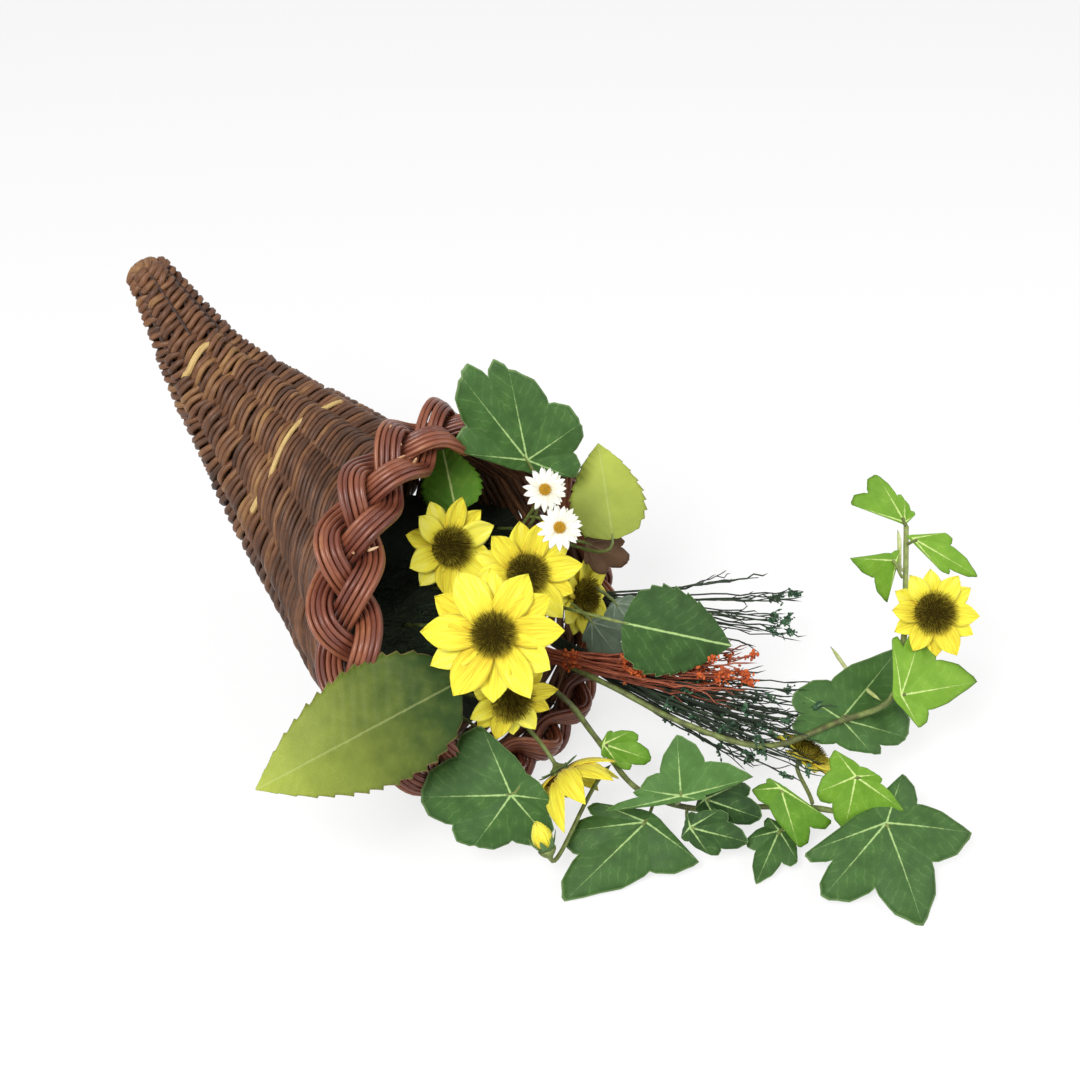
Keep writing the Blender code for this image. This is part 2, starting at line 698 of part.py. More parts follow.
foam_leaf("ivy_leaf_top", (0.54, 0.04), (-0.02, 0.48, 0.69), (-0.34, 0.33, 1.20), 1.05, ivy_shares,
          dark_leaf)
foam_leaf("light_leaf", (0.66, 0.08), (0.46, 0.66, 0.22), (0.13, 0.98, 0.58), 0.76, serrated_shares,
          lime_leaf)
foam_leaf("inner_leaf", (0.16, 0.02), (-0.34, 0.22, 0.34), (-0.54, 0.36, 0.64), 0.93, serrated_shares,
          dark_leaf)
foam_leaf("serrated_leaf", (-0.52, -0.06), (0.40, -0.72, 0.16), (-0.03, -1.80, 0.04), 0.56,
          serrated_shares, lime_leaf)
foam_leaf("ivy_leaf_rim", (-0.48, -0.36), (0.72, -0.70, -0.55), (0.34, -1.05, -0.54), 1.14, ivy_shares,
          dark_leaf)
foam_leaf("dark_leaf_right", (0.30, -0.20), (0.84, 0.32, -0.06), (1.30, 0.66, -0.16), 0.83,
          serrated_shares, dark_leaf)

vine_leaf("ivy_leaf_1", low_vine, 0.42, (1.47, -0.15, -0.57), (1.33, 0.01, -0.27), 2.23, dark_leaf)
vine_leaf("ivy_leaf_2", low_vine, 0.36, (1.31, -0.23, -0.83), (1.14, -0.82, -0.99), 0.93, dark_leaf,
          (0.25, -0.35, 0.90))
vine_leaf("ivy_leaf_3", low_vine, 0.71, (1.84, 0.34, -0.72), (2.06, 0.14, -0.92), 1.18, bright_leaf)
vine_leaf("ivy_leaf_4", low_vine, 0.88, (2.18, 0.56, -0.60), (2.50, 0.71, -0.68), 1.28, bright_leaf)
vine_leaf("ivy_leaf_5", low_vine, 0.77, (1.92, 0.22, -0.92), (1.97, -0.12, -0.99), 0.84, dark_leaf,
          (0.10, -0.10, 0.99))
vine_leaf("ivy_leaf_6", low_vine, 0.98, (2.42, 0.51, -0.78), (2.83, 0.20, -1.01), 1.53, dark_leaf,
          (0.44, -0.40, 0.80))
vine_leaf("ivy_leaf_7", high_vine, 0.53, (1.90, 0.88, -0.58), (1.98, 1.48, -0.42), 0.92, dark_leaf)
vine_leaf("ivy_leaf_8", high_vine, 0.62, (2.19, 1.03, -0.34), (2.49, 1.47, -0.40), 0.98, bright_leaf)
vine_leaf("ivy_leaf_9", high_vine, 0.99, (1.74, 1.85, 0.16), (1.54, 1.92, 0.37), 0.78, bright_leaf)
vine_leaf("ivy_leaf_10", high_vine, 0.875, (1.81, 1.63, 0.05), (1.64, 1.43, 0.11), 0.94, bright_leaf)
vine_leaf("ivy_leaf_11", high_vine, 0.95, (1.83, 1.78, 0.13), (2.24, 1.84, 0.00), 0.58, bright_leaf)

twig_bunch("twigs_upper", (0.60, -0.34), (0.76, 0.80, -0.28), (1.42, 1.32, -0.54), 0.21, 8, twig_green)
twig_bunch("twigs_rust", (0.02, -0.22), (0.66, 0.12, -0.30), (1.32, 0.66, -0.40), 0.17, 8, twig_rust)
twig_bunch("twigs_lower", (0.42, -0.44), (0.78, 0.42, -0.44), (1.66, 0.92, -0.56), 0.21, 9, twig_green)

floral_foam()
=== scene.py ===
from bisect import bisect_right
from math import atan2, cos, floor, hypot, pi, radians, sin, sqrt, tau
from random import Random

import bmesh
import bpy
import numpy as np
from mathutils import Matrix, Vector, noise


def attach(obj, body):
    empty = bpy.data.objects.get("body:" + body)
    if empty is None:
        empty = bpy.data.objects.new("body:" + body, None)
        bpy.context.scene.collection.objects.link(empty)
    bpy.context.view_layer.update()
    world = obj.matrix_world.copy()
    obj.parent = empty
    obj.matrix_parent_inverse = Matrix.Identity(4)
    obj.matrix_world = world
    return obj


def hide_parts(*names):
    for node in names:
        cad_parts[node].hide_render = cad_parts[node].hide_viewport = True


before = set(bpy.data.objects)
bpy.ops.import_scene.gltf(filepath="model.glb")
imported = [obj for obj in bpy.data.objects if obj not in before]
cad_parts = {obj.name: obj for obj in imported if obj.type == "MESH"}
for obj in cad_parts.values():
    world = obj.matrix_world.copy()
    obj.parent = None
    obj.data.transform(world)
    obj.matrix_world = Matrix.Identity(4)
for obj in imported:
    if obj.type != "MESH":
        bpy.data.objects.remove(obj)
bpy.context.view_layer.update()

mm = 0.001


# Camera, as the photograph was taken: above the mouth's left side, at arm's length with a normal lens.
# The mouth's middle is where the plait's ring is centred, and the camera keeps its place from it.
mouth = Vector((-44.87 * mm, 0, 100.19 * mm))
camera_turn = radians(54.4)
camera_height = radians(40.5)
camera_across = 31.9 * mm         # to the right of the mouth's middle, in the picture
camera_above = 31.8 * mm
camera_distance = 817 * mm
toward_camera = Vector((
    cos(camera_turn) * cos(camera_height),
    -sin(camera_turn) * cos(camera_height),
    sin(camera_height),
))
camera_right = Vector((sin(camera_turn), cos(camera_turn), 0))
camera_up = toward_camera.cross(camera_right)
camera_place = (mouth + camera_right * camera_across + camera_up * camera_above
                + toward_camera * camera_distance)

camera = bpy.data.objects.new("camera", bpy.data.cameras.new("camera"))
camera.data.lens = 50
camera.data.sensor_width = 36
camera.data.clip_start = 10 * mm
camera.matrix_world = Matrix.LocRotScale(
    camera_place,
    Matrix((camera_right, camera_up, toward_camera)).transposed().to_quaternion(),
    None,
)
bpy.context.collection.objects.link(camera)
bpy.context.scene.camera = camera
bpy.context.scene.view_settings.view_transform = "Standard"


# Studio: a white floor, one large soft lamp above and behind the camera's left, a weaker one at the right,
# and an even white surround. The floor shows white to the camera and keeps a faint shadow.
surround_strength = 0.38          # on the object; the camera sees the surround at 1
floor_glow = 0.74                 # what the camera sees of the floor, beside the light that falls on it
floor_reach = 3                   # metres from its middle to its edge
floor_gap = 0.2 * mm


def paint(code):
    """A colour written as sRGB hex, turned linear."""
    channels = [int(code[start:start + 2], 16) / 255 for start in (0, 2, 4)]
    return [c / 12.92 if c <= 0.04045 else ((c + 0.055) / 1.055) ** 2.4 for c in channels] + [1]


def add(tree, kind, inputs=(), **settings):
    """Add a shader node, set its properties, and fill or link its inputs. Shades are a ramp's colours."""
    made = tree.nodes.new("ShaderNode" + kind)
    shades = settings.pop("shades", ())
    for name, value in settings.items():
        setattr(made, name, value)
    for number, shade in enumerate(shades):
        if number in (0, len(shades) - 1):
            made.color_ramp.elements[0 if number == 0 else -1].color = paint(shade)
        else:
            made.color_ramp.elements.new(number / (len(shades) - 1)).color = paint(shade)
    for key, value in dict(inputs).items():
        if isinstance(value, bpy.types.NodeSocket):
            tree.links.new(value, made.inputs[key])
        else:
            made.inputs[key].default_value = value
    return made


def mesh_from(bm, name, smooth=True):
    """The mesh that a bmesh holds, which is then done with."""
    mesh = bpy.data.meshes.new(name)
    bm.to_mesh(mesh)
    bm.free()
    if smooth:
        mesh.shade_smooth()
    return mesh


world = bpy.data.worlds.new("even white surround")
world.use_nodes = True
world.node_tree.nodes.clear()
ray = add(world.node_tree, "LightPath")
seen = add(world.node_tree, "Math", {0: ray.outputs["Is Camera Ray"], 1: ray.outputs["Is Glossy Ray"]},
           operation="MAXIMUM")
soft = add(world.node_tree, "Background", {"Color": (1, 1, 1, 1), "Strength": surround_strength})
white = add(world.node_tree, "Background", {"Color": (1, 1, 1, 1), "Strength": 1.0})
both = add(world.node_tree, "MixShader", {0: seen.outputs[0], 1: soft.outputs[0], 2: white.outputs[0]})
add(world.node_tree, "OutputWorld", {0: both.outputs[0]})
bpy.context.scene.world = world

for name, place, size, power in (
    ("key lamp", Vector((0.10, -1.15, 1.55)), 0.8, 27),
    ("side lamp", Vector((1.25, 0.55, 0.95)), 0.9, 8),
):
    lamp = bpy.data.lights.new(name, "AREA")
    lamp.size = size
    lamp.energy = power
    holder = bpy.data.objects.new(name, lamp)
    holder.location = place
    holder.rotation_euler = (place - mouth).to_track_quat("Z", "Y").to_euler()
    bpy.context.collection.objects.link(holder)

bm = bmesh.new()
bmesh.ops.create_grid(bm, x_segments=1, y_segments=1, size=floor_reach)
floor_mesh = mesh_from(bm, "floor", smooth=False)
floor_paper = bpy.data.materials.new("white paper floor")
floor_paper.use_nodes = True
tree = floor_paper.node_tree
tree.nodes.clear()
ray = add(tree, "LightPath")
seen = add(tree, "Math", {0: ray.outputs["Is Camera Ray"], 1: ray.outputs["Is Glossy Ray"]},
           operation="MAXIMUM")
lit = add(tree, "BsdfDiffuse", {"Color": (0.8, 0.8, 0.8, 1)})
dim = add(tree, "BsdfDiffuse", {"Color": (0.3, 0.3, 0.3, 1)})
glow = add(tree, "Emission", {"Color": (1, 1, 1, 1), "Strength": floor_glow})
shown = add(tree, "AddShader", {0: dim.outputs[0], 1: glow.outputs[0]})
both = add(tree, "MixShader", {0: seen.outputs[0], 1: lit.outputs[0], 2: shown.outputs[0]})
add(tree, "OutputMaterial", {0: both.outputs[0]})
floor_mesh.materials.append(floor_paper)
floor_piece = bpy.data.objects.new("floor", floor_mesh)
floor_piece.location = (0, 0, -floor_gap)
bpy.context.collection.objects.link(floor_piece)


# The woven wall: a pair of round reeds, 3 to 4.5 mm thick, twined round 13 stakes from the mouth to the tail.
# Each reed passes outside one stake and inside the next, and the two of the pair swap places between stakes.
# Towards the tail the stakes come close, so the reeds take them in groups.
mouth_radius = 95 * mm
horn_length = 240 * mm
stake_count = 13
tail_round = 9 * mm
rim_back = 15.95 * mm             # the weave starts this far behind the mouth's middle
station_shares = (0.00, 0.10, 0.20, 0.32, 0.46, 0.62, 0.80, 1.00)
horn_shares = {
    "top_x": (-0.182, -0.195, -0.223, -0.285, -0.388, -0.527, -0.677, -0.851),
    "top_z": (0.864, 0.822, 0.802, 0.812, 0.887, 0.977, 1.107, 1.457),
    "bottom_x": (0.182, 0.028, -0.150, -0.339, -0.535, -0.685, -0.830, -0.945),
    "bottom_z": (-0.864, -0.918, -0.862, -0.575, -0.163, 0.237, 0.707, 1.302),
    "width": (0.98, 0.95, 0.86, 0.71, 0.57, 0.435, 0.28, 0.15),
}
mouth_tilt = radians(28)
facing = Vector((cos(mouth_tilt), 0, sin(mouth_tilt)))
rise = Vector((-sin(mouth_tilt), 0, cos(mouth_tilt)))
side = Vector((0, 1, 0))
rim = mouth - facing * rim_back


def smooth_line(stations, values):
    """A smooth curve through the values at their stations; before the first it runs on straight."""
    slopes = np.gradient(values, stations).tolist()

    def read(place):
        if place < stations[0]:
            return values[0] + slopes[0] * (place - stations[0])
        index = min(bisect_right(stations, place), len(stations) - 1) - 1
        span = stations[index + 1] - stations[index]
        t = (place - stations[index]) / span
        start = values[index] * (1 + 2 * t) * (1 - t) ** 2 + slopes[index] * span * t * (1 - t) ** 2
        end = values[index + 1] * t * t * (3 - 2 * t) + slopes[index + 1] * span * t * t * (t - 1)
        return start + end

    return read


horn_line = {name: smooth_line(station_shares, shares) for name, shares in horn_shares.items()}


def horn_ring(station):
    """The middle, the way to the top and the half width of the horn's ring at a station."""
    inside = min(station, 1)
    top = Vector((horn_line["top_x"](inside) * horn_length, 0, horn_line["top_z"](inside) * mouth_radius))
    low = Vector((horn_line["bottom_x"](inside) * horn_length, 0,
                  horn_line["bottom_z"](inside) * mouth_radius))
    return rim + (top + low) / 2, (top - low) / 2, horn_line["width"](inside) * mouth_radius


cap_share = 0.062                 # stations that the rounded end of the tail takes after the last one
tail_middle, tail_rise, tail_width = horn_ring(1)
tail_out = (tail_middle - horn_ring(0.95)[0]).normalized()


def horn_skin(station, angle):
    """A point of the horn's outer surface, angle measured from the top towards +Y."""
    middle, up, width = horn_ring(station)
    spoke = up * cos(angle) + side * width * sin(angle)
    if station <= 1:
        return middle + spoke
    turned = min((station - 1) / cap_share, 1) * pi / 2
    return tail_middle + spoke * cos(turned) + tail_out * tail_round * sin(turned)


def horn_frame(station, angle):
    """A point of the surface with its inward direction, and lengths along the horn and round it."""
    nudge = 0.002
    point = horn_skin(station, angle)
    onward = (horn_skin(station + nudge, angle) - horn_skin(station - nudge, angle)) / (2 * nudge)
    around = (horn_skin(station, angle + nudge) - horn_skin(station, angle - nudge)) / (2 * nudge)
    inward = onward.cross(around).normalized()
    middle = horn_ring(station - 0.02)[0]
    if inward.dot(middle - point) < 0:
        inward = -inward
    return point, inward, onward, around


closed_end = 0.001 * mm          # a rod's radius at its ends, where its last ring is merged to a point
weld = 0.03 * mm


def frozen(data):
    """The plain mesh that a curve makes."""
    holder = bpy.data.objects.new("holder", data)
    bpy.context.collection.objects.link(holder)
    bpy.context.view_layer.update()
    mesh = bpy.data.meshes.new_from_object(holder.evaluated_get(bpy.context.evaluated_depsgraph_get()))
    bpy.data.objects.remove(holder)
    return mesh


def rods(name, routes, sides=6, closed=False):
    """Round rods in one mesh. A route is its points, radii and tones; each vertex keeps the tone of its
    point, and as grain its place round and along its own rod, in millimetres."""
    curve = bpy.data.curves.new(name, "CURVE")
    curve.dimensions = "3D"
    curve.bevel_depth = 1
    curve.bevel_resolution = sides // 2 - 2
    curve.resolution_u = 1
    curve.render_resolution_u = 0
    tones, grains = [], []
    for number, (points, radii, shades) in enumerate(routes):
        spline = curve.splines.new("POLY")
        spline.points.add(len(points) - 1)
        spline.use_smooth = True
        spline.use_cyclic_u = closed
        run = 0
        for index, (point, radius, shade) in enumerate(zip(points, radii, shades)):
            spline.points[index].co = (*point, 1)
            spline.points[index].radius = radius
            run += (points[index] - points[index - 1]).length if index else 0
            for corner in range(sides):
                turn = tau * corner / sides
                spot = (cos(turn) * radius / mm, sin(turn) * radius / mm, run / mm)
                grains += (spot[0] + 7 * number, spot[1], spot[2])
                tones.append(shade)
    mesh = frozen(curve)
    mesh.name = name
    mesh.attributes.new("tone", "FLOAT", "POINT").data.foreach_set("value", tones)
    mesh.attributes.new("grain", "FLOAT_VECTOR", "POINT").data.foreach_set("vector", grains)
    if not closed:
        bm = bmesh.new()
        bm.from_mesh(mesh)
        bmesh.ops.remove_doubles(bm, verts=bm.verts, dist=weld)
        bm.to_mesh(mesh)
        bm.free()
    mesh.shade_smooth()
    return mesh


def put(name, mesh, look, slot, *nodes):
    """Link a finished piece. It rides on the basket and stands for the nodes that are named."""
    piece = bpy.data.objects.new(name, mesh)
    bpy.context.collection.objects.link(piece)
    mesh.materials.clear()
    mesh.materials.append(look)
    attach(piece, "root")
    if nodes:
        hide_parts(*nodes)
    return piece


def finish_of(name):
    """A new material, its nodes and its shader."""
    made = bpy.data.materials.new(name)
    made.use_nodes = True
    return made, made.node_tree, made.node_tree.nodes["Principled BSDF"]


def reed_stain(name, shades, roughness, coat):
    """Stained rattan reed: fibres about 0.6 mm wide run along it, the stain varies from reed to reed and in
    patches of about 10 mm, and the skin is satin."""
    made, tree, shader = finish_of(name)
    tone = add(tree, "Attribute", attribute_name="tone")
    grain = add(tree, "Attribute", attribute_name="grain")
    fibre_spot = add(tree, "Mapping", {"Vector": grain.outputs["Vector"], "Scale": (1, 1, 0.06)})
    fibre = add(tree, "TexNoise", {"Vector": fibre_spot.outputs[0], "Scale": 1.6, "Detail": 4.0})
    patch_spot = add(tree, "Mapping", {"Vector": grain.outputs["Vector"], "Scale": (0.3, 0.3, 0.5)})
    patch = add(tree, "TexNoise", {"Vector": patch_spot.outputs[0], "Scale": 0.25, "Detail": 2.0})
    spread = add(tree, "MapRange", {"Value": fibre.outputs["Fac"], "From Min": 0.3, "From Max": 0.7,
                                    "To Min": -0.13, "To Max": 0.13})
    blotch = add(tree, "MapRange", {"Value": patch.outputs["Fac"], "From Min": 0.3, "From Max": 0.7,
                                    "To Min": -0.08, "To Max": 0.08})
    mixed = add(tree, "Math", {0: tone.outputs["Fac"], 1: spread.outputs[0]}, operation="ADD")
    mixed = add(tree, "Math", {0: mixed.outputs[0], 1: blotch.outputs[0]}, operation="ADD")
    ramp = add(tree, "ValToRGB", {"Fac": mixed.outputs[0]}, shades=shades)
    tree.links.new(ramp.outputs[0], shader.inputs["Base Color"])
    dull = add(tree, "MapRange", {"Value": fibre.outputs["Fac"], "From Min": 0.25, "From Max": 0.75,
                                  "To Min": roughness - 0.08, "To Max": roughness + 0.12})
    tree.links.new(dull.outputs[0], shader.inputs["Roughness"])
    bump = add(tree, "Bump", {"Height": fibre.outputs["Fac"], "Strength": 0.5, "Distance": 0.25 * mm})
    tree.links.new(bump.outputs[0], shader.inputs["Normal"])
    shader.inputs["Specular IOR Level"].default_value = 0.35
    shader.inputs["Coat Weight"].default_value = coat
    shader.inputs["Coat Roughness"].default_value = 0.3
    return made


wicker_stain = reed_stain("stained woven reed", ("26150e", "4f3322", "785036", "a27b4c", "d8b978"),
                          0.5, 0.05)
reed_radius = 2.25 * mm
fine_radius = 1.4 * mm            # where the rows come closest
weave_depth = 3.9 * mm            # how far a reed swings out over a stake, towards the mouth
weave_share = 0.2                 # and at most by this much of the way between two stakes
dive_share = 0.6                  # how far it then dives behind the next one, to that swing
weave_rows = 56
cap_rows = 3
row_lean = 0.12                   # rows lie this much of the horn's length nearer the mouth on top
row_crowding = 0.9                # below 1, rows lie wider apart towards the mouth
column_rows = ((30, 13), (38, 11), (46, 9), (99, 7))    # up to these rows, reeds pass over this many groups of stakes
gap_steps = 10                    # points of a reed from one stake to the next
tan_tone = 0.97
tan_rise = 0.4                    # a tan reed swings in and out by this much of what the others do
round_steps = stake_count * gap_steps

# Rows lie almost evenly along every line of the horn, so the line's length is read at 40 stations.
line_stations = [step / 40 for step in range(41)]
line_lengths = []
for number in range(round_steps):
    spots = [horn_skin(station, tau * number / round_steps) for station in line_stations]
    lengths = [0.0]
    for before, after in zip(spots, spots[1:]):
        lengths.append(lengths[-1] + (after - before).length)
    line_lengths.append(lengths)


def row_station(row, number):
    """The station of a row on one of the lines round the horn, counted from the mouth."""
    lengths = line_lengths[number % round_steps]
    if row < 0:
        return row / weave_rows * lengths[-1] / lengths[1] / 40
    if row > weave_rows:
        return 1 + cap_share * (row - weave_rows) / cap_rows
    lean = row_lean * cos(tau * number / round_steps) * sin(pi * row / weave_rows)
    share = (row / weave_rows) ** row_crowding - lean
    return float(np.interp(share * lengths[-1], lengths, line_stations))


chance = Random(7)
stains = [0.22 + 0.36 * chance.random() for number in range(140)]
tan_runs = ((0, 22.80, 0.27), (1, 43.80, 0.20))    # strand, row and length of the two stretches of tan reed
for strand in range(2):
    points, radii, tones = [], [], []
    for step in range(-2 * round_steps, int((weave_rows + 0.97 * cap_rows) * round_steps)):
        row = step / round_steps
        point, inward, onward, around = horn_frame(row_station(row, step), tau * row)
        pitch = onward.length * (row_station(row + 0.5, step) - row_station(row - 0.5, step))
        columns = next(count for last, count in column_rows if row < last)
        swing = min(weave_depth, weave_share * around.length * tau / columns)
        radius = min(max(0.45 * pitch, fine_radius), reed_radius)
        phase = pi * columns * row + pi * strand
        tone = stains[floor((row + 3) / 1.55) + 70 * strand]
        tone += 0.16 * noise.noise(point * 22 + Vector((3, 5, 7)))
        tone += 0.3 * max(row / weave_rows - 0.5, 0) - 0.03
        for tan_strand, first, long in tan_runs:
            if strand == tan_strand and first <= row <= first + long:
                tone = tan_tone
                swing *= tan_rise
        ripple = noise.noise(Vector((row * 5.1, strand * 9, 1)))
        way = cos(phase) if cos(phase) > 0 else dive_share * cos(phase)
        depth = radius + swing * (1 - way) + 0.3 * mm * (1 + ripple)
        bunching = 0.45 * noise.noise(Vector((cos(tau * row) * 2.1, sin(tau * row) * 2.1, row * 0.83)))
        shift = (0.3 * sin(phase) + bunching) * pitch
        points.append(point + inward * depth + onward.normalized() * shift)
        radii.append(radius * (1 + 0.1 * noise.noise(Vector((row * 2.2, strand * 3, 4)))))
        tones.append(tone)
    radii[0] = radii[-1] = closed_end
    name = f"twined_reed_{strand + 1}"
    replaced = ["woven_wall"] if strand == 0 else []
    put(name, rods(name, [(points, radii, tones)]), wicker_stain, "wicker", *replaced)


# Stakes: 13 darker reeds that run from under the plait to the tail's end, and that the weave is built on.
# They are drawn together at the tail, where their ends are bound by the last turns.
dark_stain = reed_stain("dark stained reed", ("2c1d19", "3d2a22", "4f382c"), 0.6, 0)
stake_radius = 1.25 * mm
stake_start = -0.03               # stations before the weave's rim
stake_end = 1 + 0.7 * cap_share
stake_steps = 43
routes = []
for number in range(stake_count):
    angle = tau * number / stake_count
    points = []
    for step in range(stake_steps + 1):
        station = stake_start + (stake_end - stake_start) * step / stake_steps
        point, inward, onward, around = horn_frame(station, angle)
        swing = min(weave_depth, weave_share * around.length * tau / stake_count)
        points.append(point + inward * (reed_radius + swing))
    radii = [closed_end] + [stake_radius] * (stake_steps - 1) + [closed_end]
    routes.append((points, radii, [0.3 + 0.4 * chance.random()] * (stake_steps + 1)))
put("stakes", rods("stakes", routes), dark_stain, "dark_cane", "stake_cage")


# The plait round the mouth: three bundles of ten thin reddish reeds, plaited flat, leaning forward.
# Each bundle goes over one neighbour and under the other, six times round, and shines more than the weave.
plait_sway = 12 * mm
plait_lift = 7.2 * mm
plait_repeats = 6
plait_lean = radians(40)
low_swing = 4.346                 # where in its swing a bundle is lowest, at the bottom of the mouth
rod_radius = 1.42 * mm
rod_spacing = 2.75 * mm
rods_across = 5
layer_height = 1.9 * mm           # of each of the two layers of rods, from the bundle's middle
layer_bow = 26                    # and how far the outer rods drop, in metres to the square metre
plait_steps = 252
cane_stain = reed_stain("reddish stained rattan", ("46241c", "653427", "7e4633", "96593d", "b98558"),
                        0.34, 0.25)


def plait_ways(turn):
    """The plait's outward and sideways directions at a turn round the mouth from its top."""
    out = rise * cos(turn) + side * sin(turn)
    return (
        out * cos(plait_lean) + facing * sin(plait_lean),
        facing * cos(plait_lean) - out * sin(plait_lean),
    )


def plait_point(turn, swing):
    """The middle of a bundle at a turn round the mouth and at a place in its swing."""
    face_out, face_side = plait_ways(turn)
    out = rise * cos(turn) + side * sin(turn)
    lift = plait_lift * sin(2 * swing)
    return mouth + out * mouth_radius + face_side * plait_sway * sin(swing) + face_out * lift


for strand in range(3):
    phase = low_swing - plait_repeats * pi + tau * strand / 3
    routes = []
    for number in range(2 * rods_across):
        layer = 1 if number < rods_across else -1
        column = number % rods_across - rods_across // 2
        shade = 0.25 + 0.5 * chance.random()
        points, tones = [], []
        for step in range(plait_steps):
            turn = tau * step / plait_steps
            here = plait_point(turn, plait_repeats * turn + phase)
            ahead = turn + tau / plait_steps
            heading = (plait_point(ahead, plait_repeats * ahead + phase) - here).normalized()
            face_out = plait_ways(turn)[0]
            across = heading.cross(face_out).normalized()
            upright = across.cross(heading)
            wobble = noise.noise(Vector((step * 0.09, number * 3.1, strand * 7.7)))
            wide = (column + 0.25 * wobble) * rod_spacing
            high = layer * layer_height - layer_bow * wide * wide * layer + 0.35 * mm * wobble
            spot = here + across * wide + upright * high
            spot.z = max(spot.z, rod_radius)
            points.append(spot)
            tones.append(shade + 0.12 * wobble)
        routes.append((points, [rod_radius] * plait_steps, tones))
    name = f"plait_bundle_{strand + 1}"
    mesh = rods(name, routes, closed=True)
    put(name, mesh, cane_stain, "cane", f"braid_strand_{strand + 1}")


# The vines: two plastic-covered wires that run from the foam over the rim and along the ground.
# They are moulded green-brown with a dull skin, a little uneven, and carry leaves and flowers.
foam_front = 38 * mm
vine_radius = 1.6 * mm
vine_steps = 130
socket_depth = 11 * mm
clearance = 0.3 * mm
straight_start = 1.5 * mm         # a stem runs straight until it is this far out of the foam


def place_of(shares):
    """A place in the filling, as shares of the mouth's radius from its middle."""
    return mouth + Vector(shares) * mouth_radius


def on_foam(right_share, up_share):
    """A place on the foam's face."""
    return mouth - facing * foam_front + (side * right_share + rise * up_share) * mouth_radius


def socket(foot_shares):
    """The straight start of a stem, from its lower end in the foam."""
    place = on_foam(*foot_shares)
    return [place - facing * (socket_depth - clearance), place + facing * straight_start]


def bend(start, start_pull, end_pull, end, steps):
    """Points of a smooth arm that leaves start and arrives at end as the two pulls say."""
    points = []
    for number in range(steps + 1):
        t = number / steps
        points.append(
            start * (1 - t) ** 3
            + (start + start_pull) * 3 * t * (1 - t) ** 2
            + (end - end_pull) * 3 * t * t * (1 - t)
            + end * t ** 3
        )
    return points


def moulded(name, shades, roughness):
    """Moulded soft plastic: flecked colour, fine ribs along the stem and a dull skin."""
    made, tree, shader = finish_of(name)
    tone = add(tree, "Attribute", attribute_name="tone")
    grain = add(tree, "Attribute", attribute_name="grain")
    long_spot = add(tree, "Mapping", {"Vector": grain.outputs["Vector"], "Scale": (1, 1, 0.15)})
    rib = add(tree, "TexNoise", {"Vector": long_spot.outputs[0], "Scale": 1.3, "Detail": 3.0})
    fleck = add(tree, "TexNoise", {"Vector": grain.outputs["Vector"], "Scale": 0.22, "Detail": 3.0})
    spread = add(tree, "MapRange", {"Value": fleck.outputs["Fac"], "From Min": 0.3, "From Max": 0.7,
                                    "To Min": -0.35, "To Max": 0.35})
    mixed = add(tree, "Math", {0: tone.outputs["Fac"], 1: spread.outputs[0]}, operation="ADD")
    ramp = add(tree, "ValToRGB", {"Fac": mixed.outputs[0]}, shades=shades)
    tree.links.new(ramp.outputs[0], shader.inputs["Base Color"])
    dull = add(tree, "MapRange", {"Value": rib.outputs["Fac"], "To Min": roughness - 0.1,
                                  "To Max": roughness + 0.15})
    tree.links.new(dull.outputs[0], shader.inputs["Roughness"])
    bump = add(tree, "Bump", {"Height": rib.outputs["Fac"], "Strength": 0.4, "Distance": 0.2 * mm})
    tree.links.new(bump.outputs[0], shader.inputs["Normal"])
    return made


stem_plastic = moulded("moulded green stem plastic", ("4b4a26", "6c7a3c", "8f9c55"), 0.5)
vine_routes = {
    "ivy_vine_low": ((0.06, -0.58), (
        (0.63, -0.02, -0.46), (0.82, -0.02, -0.63), (1.15, -0.05, -0.84), (1.49, 0.06, -0.88),
        (1.75, 0.29, -0.90), (1.93, 0.42, -0.90), (2.14, 0.52, -0.90), (2.37, 0.54, -0.88),
    )),
    "ivy_vine_high": ((0.24, -0.46), (
        (0.75, 0.18, -0.40), (1.23, 0.26, -0.50), (1.69, 0.40, -0.52), (1.94, 0.78, -0.50),
        (2.13, 1.03, -0.42), (2.05, 1.31, -0.21), (1.89, 1.62, -0.05), (1.74, 1.88, 0.14),
    )),
}
vine_runs = {}
for name, (foot, route) in vine_routes.items():
    spots = socket(foot) + [place_of(shares) for shares in route]
    stations = [0.0]
    for before, after in zip(spots, spots[1:]):
        stations.append(stations[-1] + (after - before).length)
    lines = [smooth_line(stations, [spot[axis] for spot in spots]) for axis in range(3)]
    points = []
    for step in range(vine_steps + 1):
        points.append(Vector([line(stations[-1] * step / vine_steps) for line in lines]))
    radii, tones = [], []
    for step in range(vine_steps + 1):
        swell = noise.noise(Vector((step * 0.31, foot[0] * 40, 2)))
        patch = noise.noise(Vector((step * 0.05, foot[0] * 40, 9)))
        radii.append(vine_radius * (1 + 0.14 * swell))
        tones.append(0.35 + 0.4 * patch + 0.5 * (step / vine_steps) ** 4)
    radii[0] = radii[-1] = closed_end
    coarse = points[::5]
    first = min(range(len(coarse)), key=lambda number: (coarse[number] - spots[2]).length)
    vine_runs[name] = coarse[first:]
    put(name, rods(name, [(points, radii, tones)], sides=10), stem_plastic, "stem_green", name)


def seat_on(run, share, toward):
    """A place just off a vine's side, and the way it faces."""
    place = share * (len(run) - 1)
    index = min(int(place), len(run) - 2)
    near, far = run[index], run[index + 1]
    middle = near.lerp(far, place - index)
    heading = (far - near).normalized()
    away = toward - middle
    away = (away - heading * away.dot(heading)).normalized()
    return middle + away * (vine_radius + clearance), away


